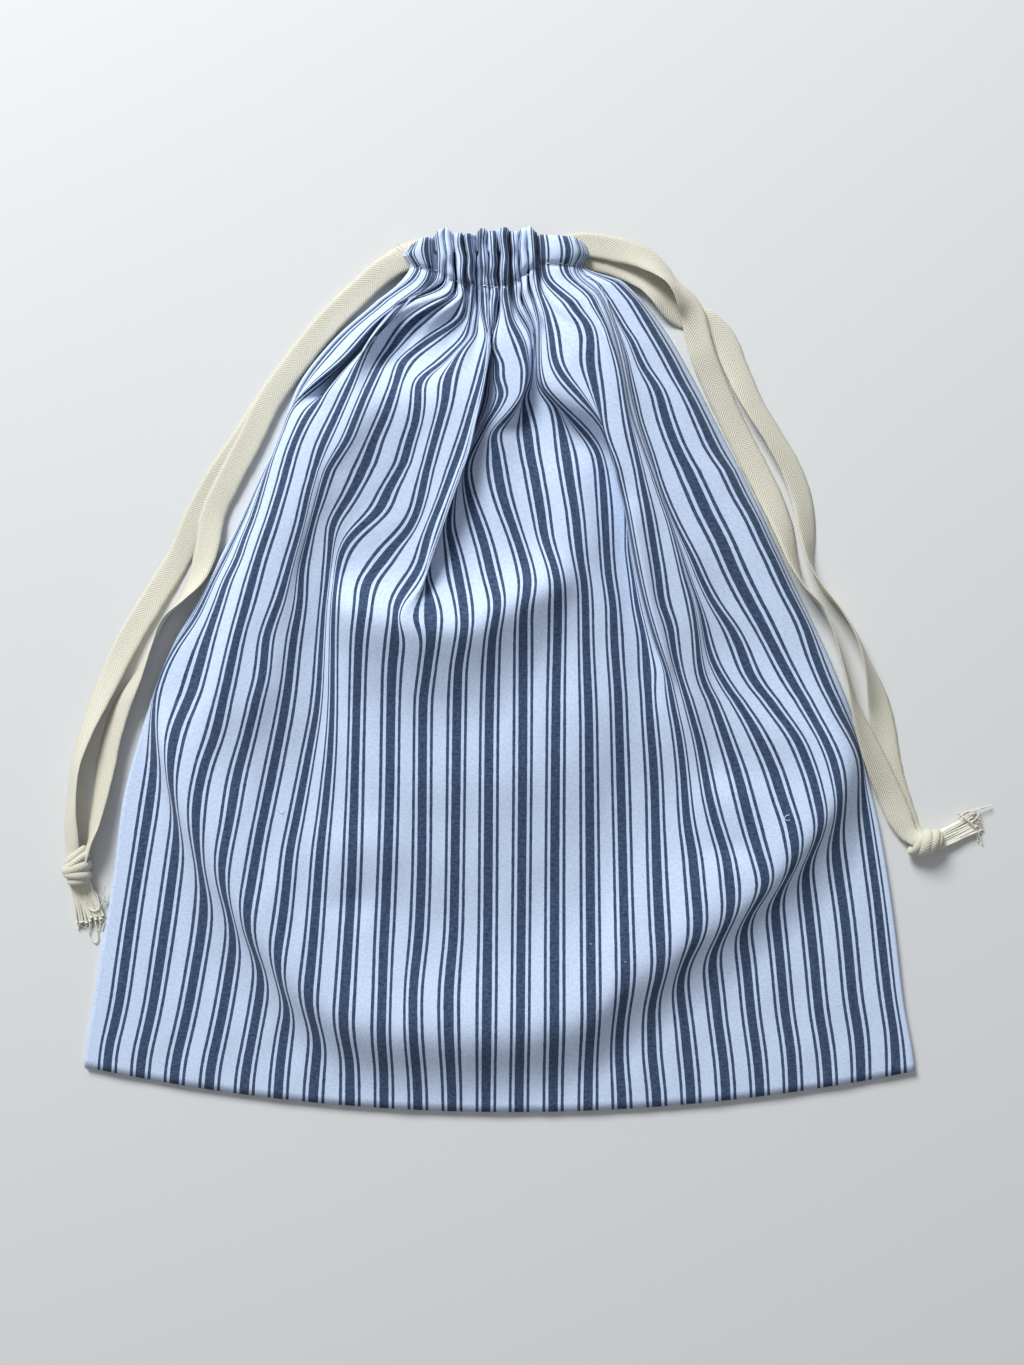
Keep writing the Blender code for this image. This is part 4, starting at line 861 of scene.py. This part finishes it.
def ripples(stripes, row):
    """Height in mm of the fine uneven gathers along one row."""
    first, peak, last = RIPPLE_ROWS
    fade = ramp((row - first) / (peak - first)) * ramp((last - row) / (last - peak)) ** RIPPLE_FADE
    if fade <= 0:
        return 0
    sway = SWAY * soft_noise(stripes, row, *SWAY_NOISE)
    size = np.clip(RIPPLE_SIZE + RIPPLE_STRAY * soft_noise(stripes, row, *SIZE_NOISE), 0, RIPPLE_MOST)
    first, last = RIPPLE_INSIDE
    window = ramp((stripes - first) / RIPPLE_EDGE) * ramp((last - stripes) / RIPPLE_EDGE)
    return RIPPLE * fade * window * size * np.sin(2 * pi * (RIPPLES * stripes + sway))


def wrinkles(stripes, rows):
    """Small soft dents all over the cloth, and the gathers under the stitches, in mm."""
    heights = []
    for row in rows:
        dents = sum(height * soft_noise(stripes, row, *form) for height, *form in DENTS)
        heights.append(dents + ripples(stripes, row))
    return np.array(heights) * seam_taper(stripes)


def turned_in(columns, rows, heights):
    """The grid with its top edge scalloped, rounded over and carried down inside the mouth."""
    near_top = ramp(1 - (rows - TOP_ROW) / SCALLOP_ROWS)
    ridge = np.clip((heights - VALLEY_HEIGHT) / SCALLOP_RIDGE, 0, 1)
    rows_bent = rows + (curve(CREST, columns) - SCALLOP * (ridge - SCALLOP_LEVEL)) * near_top
    past = np.clip(LIP_ROWS - (rows - TOP_ROW), 0, LIP_ROWS) / LIP_ROWS
    drop = LIP * (1 - np.sqrt(np.clip(1 - past**2, 0, 1)))
    outer = heights - drop
    inner = slice(len(rows) - 2, len(rows) - 2 - INNER_ROWS, -1)
    inside_heights = np.maximum(heights[inner] - 2 * LIP + drop[inner], INNER_FLOOR)
    above = 2 * TOP_ROW - rows[inner]
    return (np.concatenate([columns, columns[inner]]), np.concatenate([rows_bent, rows_bent[inner]]),
            np.concatenate([outer, inside_heights]), np.concatenate([rows, above]))


def cloth(name, node, material, stripes, columns, rows, heights, cloth_rows):
    """A sheet with the cloth's thickness on a grid of layout places, and the grid's points in metres."""
    points = place(columns, rows, heights)
    tall, wide = columns.shape
    faces = [(i * wide + j, i * wide + j + 1, (i + 1) * wide + j + 1, (i + 1) * wide + j)
             for i in range(tall - 1) for j in range(wide - 1)]
    across = np.tile(np.maximum(stripes, WHITE_SEAM), tall) * REPEAT
    uv = np.stack([across, -cloth_rows.ravel() * GRID], axis=1)
    sheet = add_mesh(name, points.reshape(-1, 3), faces, material, uv)
    solid = sheet.modifiers.new("thickness", "SOLIDIFY")
    solid.thickness = CLOTH
    solid.offset = -1
    stand_for(node)
    return sheet, points


def bag():
    material = ticking_material()
    stripes, rows = spaced(STRIPE_SPANS), spaced(ROW_SPANS)[::-1]
    columns, heights = front_layout(stripes, rows)
    heights += wrinkles(stripes, rows)
    grid_rows = np.repeat(rows[:, None], len(stripes), axis=1)
    columns, grid_rows, heights, cloth_rows = turned_in(columns, grid_rows, heights)
    front, points = cloth("front_cloth", "front_panel", material, stripes, columns,
                          edge_rows(columns, grid_rows), heights, cloth_rows)
    outer = slice(0, len(rows))
    loose = threads_on(columns[outer], grid_rows[outer], points[outer])
    back(material)


# Stitches: first and last column, pitch and length in columns, and how high they stand (mm).
STITCHED, STITCH_PITCH, STITCH_LENGTH, STITCH_HEIGHT, STITCH_SUNK = (410, 578), 6.0, 3.2, 0.16, 0.05
# How they stray: rows at the start, in the middle and at the end, and share of the pitch.
STITCH_STRAY, PITCH_STRAY = (0.8, 1, 1.5), (0.8, 1.3)
# Loose ends and lint, as (column, row, height over the cloth in mm) points, and their radius.
LINT_THREAD = 0.7 * THREAD
LINT = (
    ((404, 252, 0.6), (399, 250, 2.0), (395, 246, 3.0), (396, 243, 3.4), (400, 246, 2.6), (405, 250, 0.8)),
    ((789.5, 815, 0.5), (785.5, 816, 0.4), (784.5, 818.5, 0.3), (787, 820.5, 0.5), (790, 820, 0.6)),
    ((590, 943.5, 0.3), (591, 944.2, 0.4), (592, 943.8, 0.3)),
    ((624.5, 961.5, 0.3), (625.5, 962.2, 0.4), (626.5, 961.8, 0.3)),
    ((278, 810, 0.3), (282, 813, 0.5), (284, 810, 0.3)),
)


def threads_on(columns, rows, points):
    """Stitches along the casing and the small threads that lie on the cloth, all as one piece."""
    piece = [], [], []

    def on_cloth(column, row, lift):
        near = np.argmin((columns - column) ** 2 + (rows - row) ** 2)
        return column, row, points.reshape(-1, 3)[near][2] / MM + lift

    draw = random.Random(5)
    column, last = STITCHED
    while column < last:
        first, half_way, far = [draw.uniform(-stray, stray) for stray in STITCH_STRAY]
        row = float(curve(STITCH_ROWS, column)) + first
        path = [(column, row, STITCH_SUNK), (column + STITCH_LENGTH / 2, row + half_way, STITCH_HEIGHT),
                (column + STITCH_LENGTH, row + far, STITCH_SUNK)]
        strand(piece, [on_cloth(*spot) for spot in path], THREAD, tip=0.9, sides=5)
        column += STITCH_PITCH * draw.uniform(*PITCH_STRAY)
    for path in LINT:
        strand(piece, [on_cloth(*spot) for spot in path], LINT_THREAD, tip=0.7, sides=4)
    loose = add_mesh("sewing_threads", *piece[:2], thread_material(), piece[2])
    return loose


def back(material):
    rows = np.linspace(HEM_ROW, TOP_ROW + BACK_DROP, BACK_GRID[0])
    stripes = np.linspace(LEFT_SEAM, RIGHT_SEAM, BACK_GRID[1])
    grid_rows = np.repeat(rows[:, None], len(stripes), axis=1)
    left, right = [curve(line[1], rows)[:, None] for line in (STRIPES[0], STRIPES[-1])]
    columns = left + (right - left) * (stripes - LEFT_SEAM) / (RIGHT_SEAM - LEFT_SEAM)
    along = (stripes - PLEAT_STRIPES[0]) / (PLEAT_STRIPES[1] - PLEAT_STRIPES[0])
    window = ramp(along * BACK_PLEATS) * ramp((1 - along) * BACK_PLEATS)
    fade = ramp((PLEAT_ROWS[1] - grid_rows) / (PLEAT_ROWS[1] - PLEAT_ROWS[0]))
    pleats = fade * window * np.cos(2 * pi * BACK_PLEATS * along)
    lift = BACK_WAVE * (1 + pleats) * (fade * seam_taper(stripes))
    near_top = ramp(1 - (grid_rows - TOP_ROW) / SCALLOP_ROWS)
    bent = edge_rows(columns, grid_rows) + np.maximum(curve(CREST, columns), 0) * near_top
    sheet, _ = cloth("back_cloth", "back_panel", material, stripes, columns, bent, BACK_LIFT + lift,
                     grid_rows)


# ---------------------------------------------------------------- materials

class Nodes:
    """Short calls for building a shader."""

    def __init__(self, name):
        self.material = bpy.data.materials.new(name)
        self.material.use_nodes = True
        self.tree = self.material.node_tree

    def add(self, kind, **inputs):
        node = self.tree.nodes.new("ShaderNode" + kind)
        for key, value in inputs.items():
            setattr(node, key, value)
        return node

    def give(self, socket, value):
        """Give a socket its number, its colour or the link that it takes."""
        if isinstance(value, bpy.types.NodeSocket):
            self.tree.links.new(value, socket)
        else:
            socket.default_value = (*value, 1) if isinstance(value, tuple) else value

    def fill(self, node, **values):
        for key, value in values.items():
            self.give(node.inputs[key.replace("_", " ")], value)
        return node.outputs[0]

    def math(self, operation, *values):
        node = self.add("Math", operation=operation)
        for socket, value in zip(node.inputs, values):
            self.give(socket, value)
        return node.outputs[0]

    def plus(self, a, b):
        return self.math("ADD", a, b)

    def less(self, a, b):
        return self.math("SUBTRACT", a, b)

    def times(self, a, b):
        return self.math("MULTIPLY", a, b)

    def off_middle(self, value):
        """How far the value is from the middle between two whole numbers."""
        return self.math("ABSOLUTE", self.less(self.math("FRACT", value), 0.5))

    def wave(self, value, length):
        return self.math("SINE", self.times(value, 2 * pi / length))

    def step(self, value, low, high):
        node = self.add("MapRange", interpolation_type="SMOOTHSTEP")
        return self.fill(node, Value=value, From_Min=low, From_Max=high)

    def mix(self, factor, a, b):
        node = self.add("Mix", data_type="RGBA")
        for number, value in ((0, factor), (6, a), (7, b)):
            self.give(node.inputs[number], value)
        return node.outputs[2]

    def cloth(self):
        """The cloth's own place, and its parts across and along the warp, in metres."""
        spot = self.add("UVMap", uv_map="cloth").outputs[0]
        split = self.add("SeparateXYZ")
        self.fill(split, Vector=spot)
        return spot, split.outputs[0], split.outputs[1]

    def yarns(self, spot, across, along, detail=2):
        """Noise with this many waves to a metre across and along the cloth."""
        stretched = self.fill(self.add("Mapping"), Vector=spot, Scale=Vector((across, along, 1)))
        return self.fill(self.add("TexNoise"), Vector=stretched, Scale=1, Detail=detail)

    def bump(self, height, strength, distance):
        return self.fill(self.add("Bump"), Height=height, Strength=strength, Distance=distance)

    def surface(self, **values):
        """The material, with its shader's inputs set."""
        self.fill(self.tree.nodes["Principled BSDF"], **values)
        return self.material


# Colours: the ticking's ground and its blue stripes, the tapes and knots, the frayed strands, and thread.
GROUND, GROUND_SHADE = (0.63, 0.735, 0.93), (0.51, 0.615, 0.81)
BAND_DARK, BAND_LIGHT = (0.018, 0.035, 0.080), (0.066, 0.110, 0.205)
CREAM, CREAM_SHADE = (0.77, 0.745, 0.635), (0.52, 0.48, 0.365)
STRAND_LIGHT, STRAND_SHADE = (0.84, 0.82, 0.72), (0.67, 0.63, 0.50)
SEWING_THREAD = (0.80, 0.84, 0.90)

# Blurred edges of a stripe's wide band and of the pin line beside it, in repeats from the stripe's middle.
BAND_EDGE, PIN_START, PIN_END = (0.130, 0.145), (0.214, 0.228), (0.302, 0.316)
# How far the dyed yarns wander, in repeats.
YARN_WANDER = 0.022
# What the noises count for in the blue, and the noise from which and up to which the tones go from the
# darker one to the lighter one.
YARN_SHARE, MOTTLE_SHARE, BLUE_RANGE, GROUND_RANGE = 0.25, 0.5, (0.34, 0.66), (0.32, 0.62)
# Two yarns of the warp and of the weft, and what the weave counts for in the relief.
WARP_PITCH, WEFT_PITCH, WEAVE_SHARE = 0.42 * MM, 0.46 * MM, 0.15


def ticking_material():
    """Plain weave with dyed warp stripes, each a wide band between two pin lines."""
    n = Nodes("ticking_weave")
    spot, across, along = n.cloth()
    wander = n.times(n.less(n.yarns(spot, 2600, 300), 0.5), YARN_WANDER)
    near = n.off_middle(n.plus(n.plus(n.math("DIVIDE", across, REPEAT), wander), 0.5))
    band = n.less(1, n.step(near, *BAND_EDGE))
    pin = n.times(n.step(near, *PIN_START), n.less(1, n.step(near, *PIN_END)))
    yarn, fleck = n.yarns(spot, 3300, 160, detail=3), n.yarns(spot, 1500, 2300)
    mottle = n.yarns(spot, 560, 900, detail=3)
    heather = n.plus(n.times(n.plus(yarn, fleck), YARN_SHARE), n.times(mottle, MOTTLE_SHARE))
    blue = n.mix(n.step(heather, *BLUE_RANGE), BAND_DARK, BAND_LIGHT)
    weft_yarn, slub = n.yarns(spot, 620, 1900), n.yarns(spot, 1300, 700)
    white = n.mix(n.step(n.times(n.plus(weft_yarn, slub), 0.5), *GROUND_RANGE), GROUND_SHADE, GROUND)
    warp, weft = n.wave(across, WARP_PITCH), n.wave(along, WEFT_PITCH)
    relief = n.plus(n.times(n.times(warp, weft), WEAVE_SHARE),
                    n.plus(n.yarns(spot, 420, 2600), n.yarns(spot, 2600, 420)))
    return n.surface(Base_Color=n.mix(n.math("MAXIMUM", band, pin), white, blue), Roughness=0.95,
                     Specular_IOR_Level=0.2, Sheen_Weight=0.1, Sheen_Roughness=0.6,
                     Normal=n.bump(relief, strength=0.42, distance=0.12 * MM))


# Length of one twist of a strand's plies, what it counts for in the tone and in the relief, and tones.
PLY, PLY_TONE, PLY_RELIEF, STRAND_RANGE = 0.8 * MM, 0.07, 0.5, (0.2, 0.7)


def strand_material():
    """Soft undyed cotton of the frayed strands and threads."""
    n = Nodes("cotton_strands")
    spot, across, along = n.cloth()
    ply = n.wave(n.plus(across, along), PLY)
    yarn = n.yarns(spot, 1300, 1300, detail=3)
    tone = n.step(n.plus(n.times(ply, PLY_TONE), yarn), *STRAND_RANGE)
    relief = n.plus(n.times(ply, PLY_RELIEF), yarn)
    return n.surface(Base_Color=n.mix(tone, STRAND_SHADE, STRAND_LIGHT), Roughness=0.95,
                     Specular_IOR_Level=0.15, Sheen_Weight=0.3,
                     Normal=n.bump(relief, strength=0.25, distance=0.15 * MM))


def thread_material():
    return Nodes("sewing_thread").surface(Base_Color=SEWING_THREAD, Roughness=0.8)


# Length of one twill rib along the tape, what the twill, the yarns and the blotches count for, and tones.
TWILL, TWILL_TONE, YARN_TONE, BLOTCH, TAPE_RANGE = 1.2 * MM, 0.14, 0.75, 0.3, (0.15, 0.75)


def tape_material():
    """Herringbone: twill ribs that slant up to one spine along the middle of the tape."""
    n = Nodes("herringbone_tape")
    spot, across, along = n.cloth()
    off_spine = n.times(n.off_middle(n.math("DIVIDE", across, TAPE_WIDTH)), TAPE_WIDTH)
    twill = n.wave(n.plus(off_spine, along), TWILL)
    yarn = n.yarns(spot, 1500, 1500, detail=3)
    tone = n.step(n.plus(n.times(n.plus(twill, 1), TWILL_TONE), n.times(yarn, YARN_TONE)), *TAPE_RANGE)
    blotch = n.times(n.yarns(spot, 90, 60), BLOTCH)
    return n.surface(Base_Color=n.mix(blotch, n.mix(tone, CREAM_SHADE, CREAM), CREAM_SHADE),
                     Roughness=0.9, Specular_IOR_Level=0.2, Sheen_Weight=0.2,
                     Normal=n.bump(n.plus(twill, yarn), strength=0.45, distance=0.12 * MM))


# ---------------------------------------------------------------- stage

FLOOR_HALF, FLOOR_COLOUR = 6, (0.72, 0.72, 0.71)
# The one soft light: place and size in metres, power in watts, colour. The room's own light is weaker.
WINDOW, WINDOW_SIZE, WINDOW_POWER, WINDOW_COLOUR = (-0.80, 1.56, 1.22), 0.8, 58, (0.95, 0.98, 1.0)
ROOM_COLOUR, ROOM_STRENGTH = (0.92, 0.95, 1.0), 0.30


def stage():
    mesh = bpy.data.meshes.new("floor")
    corners = [(x * FLOOR_HALF, y * FLOOR_HALF, 0) for x, y in ((-1, -1), (1, -1), (1, 1), (-1, 1))]
    mesh.from_pydata(corners, [], [(0, 1, 2, 3)])
    mesh.materials.append(Nodes("pale_floor").surface(Base_Color=FLOOR_COLOUR, Roughness=0.9))
    put("floor", mesh)
    light = bpy.data.lights.new("window", "AREA")
    light.size, light.energy, light.color = WINDOW_SIZE, WINDOW_POWER, WINDOW_COLOUR
    window = put("window", light, WINDOW)
    window.rotation_euler = (-Vector(WINDOW)).to_track_quat("-Z", "Y").to_euler()
    world = bpy.data.worlds.new("room")
    world.use_nodes = True
    background = world.node_tree.nodes["Background"]
    background.inputs["Color"].default_value = (*ROOM_COLOUR, 1)
    background.inputs["Strength"].default_value = ROOM_STRENGTH
    bpy.context.scene.world = world
    bpy.context.scene.view_settings.view_transform = "Standard"


main()
